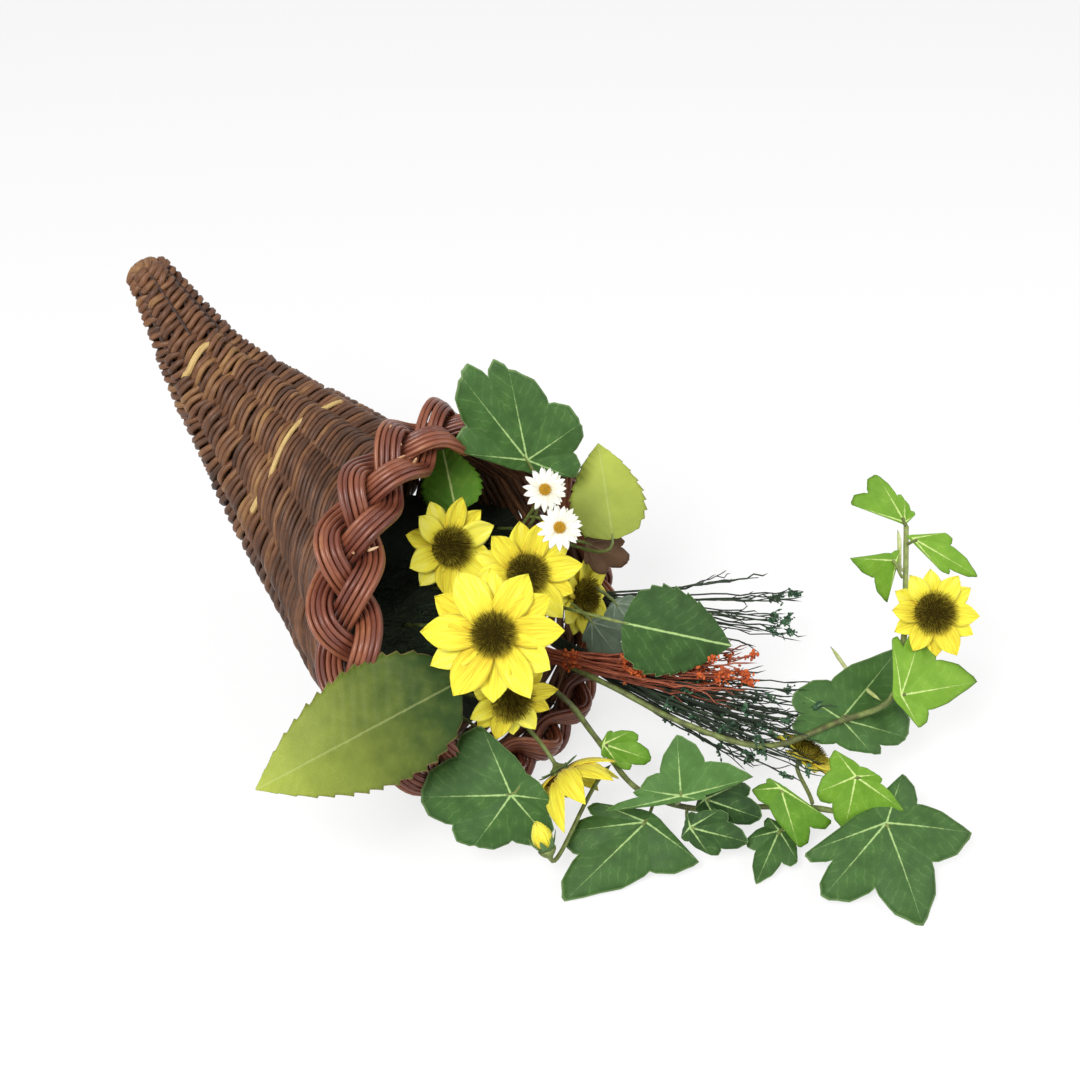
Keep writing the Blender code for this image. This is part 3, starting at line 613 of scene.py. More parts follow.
# Sunflowers: two layers of stamped, pleated yellow silk petals pushed on a peg, under a fuzzy seed head.
# A moulded green calyx with sepals sits behind them on a stem. Six stems go into the foam and two on vines.
def silk(name, shades, roughness, sheen):
    """Woven silk: threads about 0.4 mm apart, colour running from the root outward, a soft sheen."""
    made, tree, shader = finish_of(name)
    spot = add(tree, "Attribute", attribute_name="cloth")
    tone = add(tree, "Attribute", attribute_name="tone")
    streak_spot = add(tree, "Mapping", {"Vector": spot.outputs["Vector"], "Scale": (1.1, 0.07, 1)})
    streak = add(tree, "TexNoise", {"Vector": streak_spot.outputs[0], "Scale": 1.0, "Detail": 3.0})
    spread = add(tree, "MapRange", {"Value": streak.outputs["Fac"], "From Min": 0.3, "From Max": 0.7,
                                    "To Min": -0.22, "To Max": 0.22})
    mixed = add(tree, "Math", {0: tone.outputs["Fac"], 1: spread.outputs[0]}, operation="ADD")
    ramp = add(tree, "ValToRGB", {"Fac": mixed.outputs[0]}, shades=shades)
    tree.links.new(ramp.outputs[0], shader.inputs["Base Color"])
    warp = add(tree, "TexWave", {"Vector": spot.outputs["Vector"], "Scale": 0.8}, bands_direction="X")
    weft = add(tree, "TexWave", {"Vector": spot.outputs["Vector"], "Scale": 0.8}, bands_direction="Y")
    threads = add(tree, "Math", {0: warp.outputs["Fac"], 1: weft.outputs["Fac"]}, operation="MULTIPLY")
    ridge = add(tree, "Math", {0: streak.outputs["Fac"], 1: 2.5}, operation="MULTIPLY")
    height = add(tree, "Math", {0: threads.outputs[0], 1: ridge.outputs[0]}, operation="ADD")
    bump = add(tree, "Bump", {"Height": height.outputs[0], "Strength": 0.5, "Distance": 0.15 * mm})
    tree.links.new(bump.outputs[0], shader.inputs["Normal"])
    shader.inputs["Roughness"].default_value = roughness
    shader.inputs["Sheen Weight"].default_value = sheen
    return made


yellow_silk = silk("pleated yellow silk", ("d9b110", "fff540", "fffc96"), 0.7, 0.15)
sepal_cloth = silk("green sepal cloth", ("31501f", "55793a", "7f9c55"), 0.7, 0.1)


def stand(place, way):
    """The pose of a thing made upright that stands at a place and points along a way."""
    return Matrix.Translation(place) @ way.to_track_quat("Z", "Y").to_matrix().to_4x4()


def finish_cloth(bm, name, pose, look, slot, *nodes, thickness=0.35 * mm):
    """Close up the doubles, stand the cloth in its place and give it its thickness."""
    bmesh.ops.remove_doubles(bm, verts=bm.verts, dist=0.02 * mm)
    bmesh.ops.recalc_face_normals(bm, faces=bm.faces)
    bmesh.ops.transform(bm, matrix=pose, verts=bm.verts)
    piece = put(name, mesh_from(bm, name), look, slot, *nodes)
    sheet = piece.modifiers.new("cloth", "SOLIDIFY")
    sheet.thickness = thickness
    sheet.offset = 0
    return piece


def petals(name, pose, reach, look, slot, rings, *nodes):
    """Rings of petals round the peg, each a stamped grid with a pointed tip, pleated along its length. A
    ring has a count, its reach and width as shares of the flower's reach, its height, how far the tips
    lift, its pleats and the turn that it starts from."""
    root = 0.12 * reach
    bm = bmesh.new()
    cloth = bm.verts.layers.float_vector.new("cloth")
    tone = bm.verts.layers.float.new("tone")
    for count, reach_share, width_share, rest, lift, pleats, start in rings:
        width = width_share * reach
        for number in range(count):
            long = reach_share * reach * (0.93 + 0.1 * chance.random())
            wide = width * (0.9 + 0.2 * chance.random())
            curl = lift * (0.6 + 0.8 * chance.random())
            shade = 0.5 + 0.3 * (chance.random() - 0.5)
            turn = start + tau * (number + 0.16 * (chance.random() - 0.5)) / count
            spin = Matrix.Rotation(turn, 3, "Z")
            for vert in bmesh.ops.create_grid(bm, x_segments=8, y_segments=9, size=1)["verts"]:
                across, along = vert.co.x, (vert.co.y + 1) / 2
                if along < 0.55:
                    half = wide / 2 * (0.42 + 0.58 * sin(pi / 2 * along / 0.55))
                else:
                    half = wide / 2 * max(cos(pi / 2 * (along - 0.55) / 0.45), 0) ** 0.9
                out = root + (long - root) * along
                pleat = 0.055 * width * cos(across * pi * pleats) * sin(pi * min(along, 0.97)) ** 0.6
                cup = 0.10 * wide * across * across
                lean = 0.13 * half * across
                high = rest + curl * (along ** 2.2) * long + pleat + cup + lean
                vert[cloth] = (across * half / mm, out / mm, number * 5.0)
                vert[tone] = shade - 0.5 * (1 - along) ** 3
                vert.co = spin @ Vector((out, across * half, high))
    finish_cloth(bm, name, pose, look, slot, *nodes)


bristle_foot = 0.30 * mm
bristle_tip = 0.10 * mm


def seed_head(name, pose, radius, height, base, bristles, length, look, slot):
    """A dome covered with short bristles, set in the spiral of a seed head. The outer ones lean out."""
    bm = bmesh.new()
    tone = bm.verts.layers.float.new("tone")
    shape = Matrix.Translation((0, 0, base)) @ Matrix.Diagonal((radius, radius, height, 1))
    bmesh.ops.create_uvsphere(bm, u_segments=24, v_segments=12, radius=1, matrix=shape)
    bmesh.ops.bisect_plane(bm, geom=bm.verts[:] + bm.edges[:] + bm.faces[:],
                           plane_co=(0, 0, base - 0.3 * mm), plane_no=(0, 0, -1), clear_outer=True)
    for vert in bm.verts:
        vert[tone] = 0.15
    for number in range(bristles):
        share = sqrt((number + 0.5) / bristles)
        angle = number * pi * (3 - sqrt(5))
        up = sqrt(1 - (0.97 * share) ** 2)
        spot = Vector((radius * share * cos(angle), radius * share * sin(angle), base + height * up))
        way = Vector((0.9 * share * cos(angle), 0.9 * share * sin(angle), 0.25 + up))
        way += Vector([0.25 * (chance.random() - 0.5) for axis in range(3)])
        long = length * (0.7 + 0.6 * chance.random())
        way.normalize()
        cone = bmesh.ops.create_cone(bm, cap_ends=True, segments=3, radius1=bristle_foot,
                                     radius2=bristle_tip, depth=long,
                                     matrix=stand(spot + way * long * 0.3, way))["verts"]
        shade = 0.35 + 0.45 * share ** 2 + 0.5 * (chance.random() - 0.5)
        for vert in cone:
            vert[tone] = shade
    bmesh.ops.recalc_face_normals(bm, faces=bm.faces)
    bmesh.ops.transform(bm, matrix=pose, verts=bm.verts)
    put(name, mesh_from(bm, name, smooth=False), look, slot, name)


def flock(name, shades, gloss):
    """Flocked fibre: every bristle has its own tone, and the whole is dull."""
    made, tree, shader = finish_of(name)
    tone = add(tree, "Attribute", attribute_name="tone")
    ramp = add(tree, "ValToRGB", {"Fac": tone.outputs["Fac"]}, shades=shades)
    tree.links.new(ramp.outputs[0], shader.inputs["Base Color"])
    shader.inputs["Roughness"].default_value = 0.9
    shader.inputs["Specular IOR Level"].default_value = gloss
    return made


seed_plush = flock("olive brown seed plush", ("2a2005", "6e5f18", "d8c848"), 0.15)
eye = (0.44, -0.62, 0.65)
stem_radius = 1.2 * mm
calyx_radius = 6 * mm
calyx_height = 6 * mm
under = 0.65 * mm                 # from the petals' middle down to the calyx
seed_radius = 10.6 * mm
seed_height = 4.8 * mm
seed_rest = 0.9 * mm              # from the petals' middle up to the seed head
bristle_length = 3.8 * mm
# Place and the way it faces, reach of the petals, their count, and where the stem is fixed. The sixth one
# hangs over the rim, and its petals droop forward.
sunflowers = {
    "sunflower_1": ((-0.22, 0.00, 0.28), (0.85, -0.33, 0.65), 26 * mm, 12, (0.02, 0.06)),
    "sunflower_2": ((0.29, 0.04, 0.31), (0.60, -0.50, 0.62), 28 * mm, 12, (0.12, -0.04)),
    "sunflower_3": ((0.48, -0.51, 0.39), eye, 34 * mm, 12, (-0.28, 0.00)),
    "sunflower_4": ((0.34, 0.53, -0.20), (0.90, 0.10, 0.30), 24 * mm, 12, (0.44, -0.22)),
    "sunflower_5": ((0.50, -0.40, -0.18), (0.75, -0.50, 0.20), 24 * mm, 12, (-0.22, -0.28)),
    "sunflower_6": ((0.83, -0.38, -0.60), (0.80, -0.20, -0.55), 28 * mm, 10, (-0.18, -0.56)),
    "sunflower_7": ((2.15, 1.43, -0.03), eye, 24 * mm, 12, ("ivy_vine_high", 0.77)),
    "sunflower_8": ((1.82, 0.67, -0.76), (0.20, 0.60, 0.75), 21 * mm, 12, ("ivy_vine_low", 0.81)),
}


def stem_to(name, origin, head, look_to, calyx, pull_share):
    """Stem and calyx in one moulding, from the foam or from a vine to just under the petals."""
    if isinstance(origin[0], str):
        start, away = seat_on(vine_runs[origin[0]], origin[1], head - look_to * 3 * calyx_height)
        lead, pull = [start], away * (head - start).length * 0.3
    else:
        lead = socket(origin)
        pull = facing * (head - lead[-1]).length * pull_share
    foot = head - look_to * (under + calyx_height)
    points = lead[:-1] + bend(lead[-1], pull, look_to * pull.length / 2, foot, 16)
    radii = [stem_radius] * len(points)
    for share, wide in ((0.25, 0.2), (0.5, 0.62), (0.75, 0.9), (1.0, 1.0)):
        points.append(foot + look_to * calyx_height * share)
        radii.append(stem_radius + (calyx - stem_radius) * wide)
    points.append(head - look_to * under * 0.8)
    radii.append(closed_end)
    radii[0] = closed_end
    shade = 0.35 + 0.3 * chance.random()
    mesh = rods(name, [(points, radii, [shade] * len(points))], sides=10)
    put(name, mesh, stem_plastic, "stem_green", name)


for name, (spot, look_to, reach, count, origin) in sunflowers.items():
    head = place_of(spot)
    look_to = Vector(look_to).normalized()
    pose = stand(head, look_to)
    droop = 0.5 if name == "sunflower_6" else 0
    petals(f"{name}_petals", pose, reach, yellow_silk, "yellow_silk", (
        (count // 2, 1.04, 0.52, 0.2 * mm, 0.13 + droop, 3, 0),
        (count // 2, 1.02, 0.50, -1.4 * mm, 0.05 + droop, 3, tau / count),
    ), f"{name}_petals")
    seed_head(f"{name}_centre", pose, seed_radius, seed_height, seed_rest, 640, bristle_length,
              seed_plush, "seed_brown")
    petals(f"{name}_sepals", pose, reach, sepal_cloth, "stem_green",
           ((9, 0.44, 0.16, -2.6 * mm, -0.10, 1, 0),))
    stem_to(f"{name}_stem", origin, head, look_to, min(calyx_radius, 0.25 * reach), 0.45)


# Daisies: two small white silk daisies on one forked stem above the sunflowers. Each has narrow petals in
# two layers, and a low yellow centre of flock.
white_silk = silk("white silk", ("e0dabc", "fbfaf2", "ffffff"), 0.7, 0.2)
pollen_flock = flock("yellow flock", ("a8780c", "f0c93a"), 0.5)
daisy_reach = 11 * mm
daisy_stem_radius = 0.9 * mm
daisy_look = Vector((0.50, -0.55, 0.67)).normalized()
daisy_lead = socket((0.44, 0.04))
routes = []
for number, spot in enumerate(((0.23, 0.30, 0.71), (0.42, 0.17, 0.62))):
    name = f"daisy_{number + 1}"
    head = place_of(spot)
    pose = stand(head, daisy_look)
    petals(f"{name}_petals", pose, daisy_reach, white_silk, "white_silk", (
        (15, 1.1, 0.32, 0.1 * mm, 0.10, 1, 0),
        (14, 1.05, 0.30, -0.5 * mm, 0.02, 1, 0.2),
    ), f"{name}_petals")
    seed_head(f"{name}_centre", pose, 0.28 * daisy_reach, 0.2 * daisy_reach, 0.4 * mm, 70, 0.8 * mm,
              pollen_flock, "pollen_yellow")
    origin = daisy_lead[-1] if number == 0 else routes[0][0][10]
    foot = head - daisy_look * (under + 0.25 * daisy_reach)
    pull = facing * (head - origin).length * 0.3
    points = bend(origin, pull, daisy_look * pull.length / 2, foot, 16)
    if number == 0:
        points = daisy_lead[:-1] + points
    points += [head - daisy_look * (under + 0.1 * daisy_reach), head - daisy_look * under]
    radii = [closed_end] + [daisy_stem_radius] * (len(points) - 3) + [0.25 * daisy_reach, closed_end]
    routes.append((points, radii, [0.6] * len(points)))
put("daisy_stem", rods("daisy_stem", routes, sides=8), stem_plastic, "stem_green", "daisy_stem")


# The bud: a closed sunflower bud of yellow silk petals, folded over one another in two layers and glued in a
# cup of green sepals, on a stem that is pushed on the low vine.
bud_look = Vector((-0.54, 0.15, 0.81)).normalized()
bud_head = place_of((1.00, -0.76, -0.74))
pose = stand(bud_head, bud_look)
bm = bmesh.new()
cloth = bm.verts.layers.float_vector.new("cloth")
tone = bm.verts.layers.float.new("tone")
for layer in range(2):
    for number in range(6):
        turn = Matrix.Rotation(tau * (number + 0.5 * layer) / 6, 3, "Z")
        for vert in bmesh.ops.create_grid(bm, x_segments=6, y_segments=9, size=1)["verts"]:
            across, along = vert.co.x, (vert.co.y + 1) / 2
            belly = (5.2 - 0.7 * layer) * mm * sin(pi * min(0.14 + 0.86 * along, 0.985)) ** 0.55
            angle = across * 0.62 * (1 - 0.3 * along)
            vert[cloth] = (across * 3, along * 14, number * 5.0)
            vert[tone] = 0.35 + 0.3 * along - 0.12 * abs(across)
            wave = 1 + 0.05 * cos(across * 3 * pi)
            height = (0.4 + (13.6 + 1.2 * layer) * along) * mm
            vert.co = turn @ Vector((belly * wave * cos(angle), belly * wave * sin(angle), height))
finish_cloth(bm, "sunflower_bud", pose, yellow_silk, "yellow_silk", "sunflower_bud", thickness=0.3 * mm)
bm = bmesh.new()
cloth = bm.verts.layers.float_vector.new("cloth")
tone = bm.verts.layers.float.new("tone")
for number in range(7):
    turn = Matrix.Rotation(tau * number / 7, 3, "Z")
    for vert in bmesh.ops.create_grid(bm, x_segments=4, y_segments=6, size=1)["verts"]:
        across, along = vert.co.x, (vert.co.y + 1) / 2
        half = 2.3 * mm * (1 - along) ** 0.6
        out = (3.2 + 3.4 * sin(pi * 0.5 * along) + 1.4 * along ** 3) * mm
        vert[cloth] = (across * half / mm, along * 9, number * 5.0)
        vert[tone] = 0.4 + 0.3 * along
        vert.co = turn @ Vector((out, across * half, (-1.0 + 8.5 * along) * mm))
finish_cloth(bm, "bud_sepals", pose, sepal_cloth, "stem_green", thickness=0.3 * mm)
stem_to("sunflower_bud_stem", ("ivy_vine_low", 0.20), bud_head, bud_look, 5 * mm, 0.3)


# Ivy leaves: stamped stiffened cloth, glued on a wire petiole. The top is printed green with paler veins
# that run from the petiole into every lobe, the underside is paler, and the cut edge shows light.
def leaf_cloth(name, deep, fresh, vein, rim, roughness, strength, mottle=0.16):
    """Printed leaf cloth: a bold vein along each lobe that fades to the tip, faint side veins about 7 mm
    apart, blotches, a light cut edge, and threads drawn 1 mm apart, twice as coarse as the real ones."""
    made, tree, shader = finish_of(name)
    spot = add(tree, "UVMap", uv_map="vein")
    parts = add(tree, "SeparateXYZ", {0: spot.outputs[0]})
    edge = add(tree, "Attribute", attribute_name="edge")
    tone = add(tree, "Attribute", attribute_name="tone")
    cloudy = add(tree, "TexNoise", {"Vector": spot.outputs[0], "Scale": 0.09, "Detail": 4.0})
    ragged = add(tree, "TexNoise", {"Vector": spot.outputs[0], "Scale": 0.35, "Detail": 2.0})
    across = add(tree, "Math", {0: parts.outputs[1]}, operation="ABSOLUTE")
    slanted = add(tree, "Math", {0: across.outputs[0], 1: -1.15, 2: parts.outputs[0]},
                  operation="MULTIPLY_ADD")
    wander = add(tree, "Math", {0: ragged.outputs["Fac"], 1: 5.0, 2: slanted.outputs[0]},
                 operation="MULTIPLY_ADD")
    side_far = add(tree, "Math", {0: wander.outputs[0], 1: 3.6}, operation="PINGPONG")
    side_vein = add(tree, "MapRange", {"Value": side_far.outputs[0], "From Min": 0.1, "From Max": 0.9,
                                       "To Min": 0.1, "To Max": 0.0})
    patchy = add(tree, "MapRange", {"Value": cloudy.outputs["Fac"], "From Min": 0.42, "From Max": 0.6})
    side_vein = add(tree, "Math", {0: side_vein.outputs[0], 1: patchy.outputs[0]}, operation="MULTIPLY")
    crooked = add(tree, "Math", {0: ragged.outputs["Fac"], 1: 0.9, 2: across.outputs[0]},
                  operation="MULTIPLY_ADD")
    taper = add(tree, "Math", {0: edge.outputs["Fac"], 1: 0.65, 2: crooked.outputs[0]},
                operation="MULTIPLY_ADD")
    main_vein = add(tree, "MapRange", {"Value": taper.outputs[0], "From Min": 0.8, "From Max": 1.25,
                                       "To Min": 1.0, "To Max": 0.0})
    fading = add(tree, "MapRange", {"Value": edge.outputs["Fac"], "From Min": 0.35, "From Max": 1.0,
                                    "To Min": 1.0, "To Max": 0.45})
    main_vein = add(tree, "Math", {0: main_vein.outputs[0], 1: fading.outputs[0]}, operation="MULTIPLY")
    veins = add(tree, "Math", {0: side_vein.outputs[0], 1: main_vein.outputs[0]}, operation="MAXIMUM")
    printing = add(tree, "Math", {0: veins.outputs[0], 1: strength}, operation="MULTIPLY")
    blotch = add(tree, "MapRange", {"Value": cloudy.outputs["Fac"], "From Min": 0.3, "From Max": 0.7,
                                    "To Min": -mottle, "To Max": mottle})
    mixed = add(tree, "Math", {0: tone.outputs["Fac"], 1: blotch.outputs[0]}, operation="ADD",
                use_clamp=True)
    ground = add(tree, "Mix", {0: mixed.outputs[0], 6: paint(deep), 7: paint(fresh)}, data_type="RGBA")
    printed = add(tree, "Mix", {0: printing.outputs[0], 6: ground.outputs[2], 7: paint(vein)},
                  data_type="RGBA")
    outer = add(tree, "MapRange", {"Value": edge.outputs["Fac"], "From Min": 0.965, "From Max": 0.99,
                                   "To Min": 0.0, "To Max": 0.6})
    colour = add(tree, "Mix", {0: outer.outputs[0], 6: printed.outputs[2], 7: paint(rim)}, data_type="RGBA")
    tree.links.new(colour.outputs[2], shader.inputs["Base Color"])
    warp = add(tree, "TexWave", {"Vector": spot.outputs[0], "Scale": 0.31}, bands_direction="X")
    weft = add(tree, "TexWave", {"Vector": spot.outputs[0], "Scale": 0.31}, bands_direction="Y")
    threads = add(tree, "Math", {0: warp.outputs["Fac"], 1: weft.outputs["Fac"]}, operation="MULTIPLY")
    height = add(tree, "Math", {0: veins.outputs[0], 1: -2.5, 2: threads.outputs[0]},
                 operation="MULTIPLY_ADD")
    bump = add(tree, "Bump", {"Height": height.outputs[0], "Strength": 0.45, "Distance": 0.2 * mm})
    tree.links.new(bump.outputs[0], shader.inputs["Normal"])
    shader.inputs["Roughness"].default_value = roughness
    shader.inputs["Specular IOR Level"].default_value = 0.25
    return made


leaf_cloths = {
    "dark_leaf": leaf_cloth("dark green leaf cloth", "1f3c16", "55803c", "b4d487", "8aa96c", 0.5, 0.9),
    "bright_leaf": leaf_cloth("bright green leaf cloth", "477a12", "86b437", "d6ec92", "5a7d2c", 0.55, 0.9),
    "lime_leaf": leaf_cloth("lime leaf cloth", "27400e", "b8c652", "d2dc92", "8a7a4a", 0.5, 0.2, 0.06),
}
back_cloth = leaf_cloth("pale leaf underside", "86a07c", "a3b894", "b6c8a4", "b5c4a2", 0.7, 0.5)


def leaf_frame(base, tip, look_to):
    """A leaf's length and its own directions: forward, across and out of its face."""
    forward = (tip - base).normalized()
    across = Vector(look_to).cross(forward).normalized()
    return (tip - base).length, forward, across, forward.cross(across)


def finish_leaf(bm, name, slot, start, pull, base, forward, node, cloth=None):
    """Thicken a leaf's blade, give it its underside, and lay its petiole from the start to the base."""
    bmesh.ops.recalc_face_normals(bm, faces=bm.faces)
    mesh = mesh_from(bm, name)
    piece = put(name, mesh, cloth or leaf_cloths[slot], slot, *([node] if node else []))
    mesh.materials.append(back_cloth)
    sheet = piece.modifiers.new("cloth", "SOLIDIFY")
    sheet.thickness = 0.4 * mm
    sheet.offset = -1
    sheet.material_offset = 1
    reach = (base - start[-1]).length
    points = start[:-1] + bend(start[-1], pull, forward * reach * 0.3, base + forward * 3 * mm, 12)
    radii = [closed_end] + [0.95 * mm] * (len(points) - 2) + [0.3 * mm]
    stem_name = f"{name}_petiole"
    shade = 0.4 + 0.35 * chance.random()
    put(stem_name, rods(stem_name, [(points, radii, [shade] * len(points))]), stem_plastic, "stem_green")


def lobed_leaf(name, slot, start, pull, base, tip, lobes, fullness, shade, look_to, node=None, cloth=None):
    """An ivy leaf: spokes spun round the petiole's end, drawn out to the lobes' tips. At a fullness of 1
    its edge runs straight from tip to tip, and below that it is notched between them."""
    length, forward, across, normal = leaf_frame(base, tip, look_to)
    tips = sorted((atan2(y, x), hypot(x, y) * length) for x, y in lobes)
    corners = []
    for (angle, reach), (after, reach_after) in zip(tips, tips[1:] + [(tips[0][0] + tau, tips[0][1])]):
        gap = after - angle
        chord = 2 * reach * reach_after * cos(min(gap, pi) / 2) / (reach + reach_after)
        notch = max(fullness * chord, 0.22 * min(reach, reach_after))
        corners += [(angle, reach), (angle + gap / 2, notch)]
    spokes, rings = 8, 9
    count = spokes * len(corners)
    bm = bmesh.new()
    edge_layer = bm.verts.layers.float.new("edge")
    tone_layer = bm.verts.layers.float.new("tone")
    line = [bm.verts.new((ring / rings, 0, 0)) for ring in range(1, rings + 1)]
    edges = [bm.edges.new(pair) for pair in zip(line, line[1:])]
    bmesh.ops.spin(bm, geom=line + edges, axis=(0, 0, 1), cent=(0, 0, 0), angle=tau, steps=count,
                   use_merge=True)
    inner = [item for item in bm.edges if item.is_boundary and item.verts[0].co.length < 1.5 / rings]
    centre = bmesh.ops.extrude_edge_only(bm, edges=inner)["geom"]
    for vert in [item for item in centre if isinstance(item, bmesh.types.BMVert)]:
        vert.co = (0, 0, 0)
    bmesh.ops.remove_doubles(bm, verts=bm.verts, dist=0.0005)
    uv = bm.loops.layers.uv.new("vein")
    sectors = {}
    for face in bm.faces:
        middle = face.calc_center_median()
        sectors[face] = int((atan2(middle.y, middle.x) % tau) / tau * count) // spokes
    plan = {}
    for vert in bm.verts:
        ring = vert.co.length
        spoke = (atan2(vert.co.y, vert.co.x) % tau) / tau * count if ring > 0.01 else 0
        section = int(spoke + 0.001) // spokes % len(corners)
        t = (spoke - section * spokes) / spokes if ring > 0.01 else 0
        near = corners[section]
        far = corners[section + 1] if section + 1 < len(corners) else (corners[0][0] + tau, corners[0][1])
        angle = near[0] + (far[0] - near[0]) * t
        lower = near[1] * sin(angle - near[0]) + far[1] * sin(far[0] - angle)
        reach = near[1] * far[1] * sin(far[0] - near[0]) / lower if lower else near[1]
        reach *= 1 + 0.14 * sin(pi * t) + 0.012 * sin(5 * pi * t)
        plan[vert] = (Vector((cos(angle), sin(angle))) * reach * ring, ring)
    for face in bm.faces:
        section = sectors[face]
        lobe = corners[(section + section % 2) % len(corners)]
        heading = Vector((cos(lobe[0]), sin(lobe[0])))
        for loop in face.loops:
            spot = plan[loop.vert][0] / mm
            loop[uv].uv = (spot.dot(heading), spot.cross(heading))
    creases = {}
    for face in bm.faces:
        for loop in face.loops:
            creases[loop.vert] = abs(loop[uv].uv[1]) * mm
    seed = sum(ord(letter) for letter in name)
    for vert in bm.verts:
        spot, ring = plan[vert]
        bow = 0.06 * (spot.x ** 2 + 2.4 * spot.y ** 2) / length
        wave = 1.1 * mm * ring * noise.noise(Vector((spot.x * 70, spot.y * 70, seed)))
        vert[edge_layer] = ring
        vert[tone_layer] = shade
        vert.co = base + forward * spot.x + across * spot.y + normal * (wave - bow - 0.16 * creases[vert])
    finish_leaf(bm, name, slot, start, pull, base, forward, node, cloth)


def from_foam(foot, base):
    lead = socket(foot)
    return lead, facing * (base - lead[-1]).length * 0.5


def from_vine(vine_name, share, base):
    foot, away = seat_on(vine_runs[vine_name], share, base)
    return [foot], away * (base - foot).length * 0.4


# Slot, fullness, shade, where its petiole starts (a spot on the foam, or a vine and the share of the way
# along it), base, tip, the way its face looks, and its lobes as shares of its length.
ivy_leaves = {
    "ivy_leaf_top": ("dark_leaf", 0.95, 0.45, (0.54, 0.04), (-0.02, 0.48, 0.69), (-0.34, 0.33, 1.20), eye,
                     ((1, 0), (0.78, -0.37), (-0.07, -0.59), (-0.45, -0.24), (0.42, 0.40))),
    "ivy_leaf_rim": ("dark_leaf", 1.0, 0.42, (-0.48, -0.36), (0.72, -0.70, -0.55), (0.34, -1.05, -0.54), eye,
                     ((0.95, -0.05), (0.26, -0.74), (-0.42, 0.09), (0.42, 0.51), (-0.36, 0.49))),
    "ivy_leaf_1": ("dark_leaf", 0.8, 0.8, ("ivy_vine_low", 0.42), (1.47, -0.15, -0.57), (1.33, 0.01, -0.27),
                   eye, ((0.92, 0.01), (-0.23, 1.14), (0.18, -1.12), (0.12, 0.60), (-0.08, -0.28))),
    "ivy_leaf_2": ("dark_leaf", 0.9, 0.42, ("ivy_vine_low", 0.36), (1.31, -0.23, -0.83), (1.14, -0.82, -0.99),
                   (0.25, -0.35, 0.90), ((1, 0.05), (-0.13, 0.56), (0.53, -0.36), (0.21, -0.42))),
    "ivy_leaf_3": ("bright_leaf", 0.85, 0.25, ("ivy_vine_low", 0.71), (1.84, 0.34, -0.72),
                   (2.06, 0.14, -0.92), eye, ((0.94, 0.08), (-0.05, -0.45), (0.63, 0.68), (-0.18, -0.13))),
    "ivy_leaf_4": ("bright_leaf", 0.85, 0.5, ("ivy_vine_low", 0.88), (2.18, 0.56, -0.60), (2.50, 0.71, -0.68),
                   eye, ((0.88, -0.30), (-0.42, 0.30), (0.09, -0.85), (-0.50, -0.41), (0.32, 0.12))),
    "ivy_leaf_5": ("dark_leaf", 0.8, 0.4, ("ivy_vine_low", 0.77), (1.92, 0.22, -0.92), (1.97, -0.12, -0.99),
                   (0.10, -0.10, 0.99), ((1, 0), (0.35, 0.45), (0.35, -0.42), (-0.15, 0.25), (-0.15, -0.25))),
    "ivy_leaf_6": ("dark_leaf", 0.74, 0.45, ("ivy_vine_low", 0.98), (2.42, 0.51, -0.78), (2.83, 0.20, -1.01),
                   (0.44, -0.40, 0.80),
                   ((1.03, 0), (0.30, 0.84), (0.51, -0.84), (-0.43, 0.35), (0.06, -0.86))),
    "ivy_leaf_7": ("dark_leaf", 0.9, 0.55, ("ivy_vine_high", 0.53), (1.94, 0.83, -0.52), (2.02, 1.43, -0.36),
                   eye, ((1, 0), (-0.11, 0.47), (-0.01, -0.43), (0.37, -0.59), (-0.43, 0.20))),
    "ivy_leaf_8": ("bright_leaf", 0.8, 0.75, ("ivy_vine_high", 0.62), (2.19, 1.03, -0.34),
                   (2.49, 1.47, -0.40), eye, ((1, -0.03), (0.41, 0.65), (0.17, -0.38), (0.02, 0.58))),
    "ivy_leaf_9": ("bright_leaf", 0.9, 0.6, ("ivy_vine_high", 0.99), (1.74, 1.85, 0.16), (1.54, 1.92, 0.37),
                   eye, ((1.07, 0.10), (0.73, 0.80), (0.04, -0.25), (0.40, -0.18))),
    "ivy_leaf_10": ("bright_leaf", 0.8, 0.55, ("ivy_vine_high", 0.875), (1.81, 1.63, 0.05),
                    (1.64, 1.43, 0.11), eye, ((1.10, -0.04), (-0.09, -0.23), (0.14, 0.92))),
    "ivy_leaf_11": ("bright_leaf", 0.9, 0.7, ("ivy_vine_high", 0.95), (1.83, 1.78, 0.13), (2.24, 1.84, 0.00),
                    eye, ((1, 0), (0.53, -0.19), (0.33, 0.28))),
}
for name, (slot, fullness, shade, origin, base, tip, look_to, lobes) in ivy_leaves.items():
    base, tip = place_of(base), place_of(tip)
    start, pull = from_vine(*origin, base) if isinstance(origin[0], str) else from_foam(origin, base)
    lobed_leaf(name, slot, start, pull, base, tip, lobes, fullness, shade, look_to, name)


# Small leaves, glued on petioles like the ivy and left out of the plain model. Four are printed bright or
# dark green, three on the low vine and one from the foam; two thin bleached ones and a brown one stand
# beside the twigs.
bleached_cloth = leaf_cloth("bleached thin leaf cloth", "4d5f4c", "7d907c", "a9b8a4", "8b9a86", 0.6, 0.5)
wilted_cloth = leaf_cloth("brown dyed leaf cloth", "4a3526", "7a5c44", "94785a", "6a4e38", 0.7, 0.4)
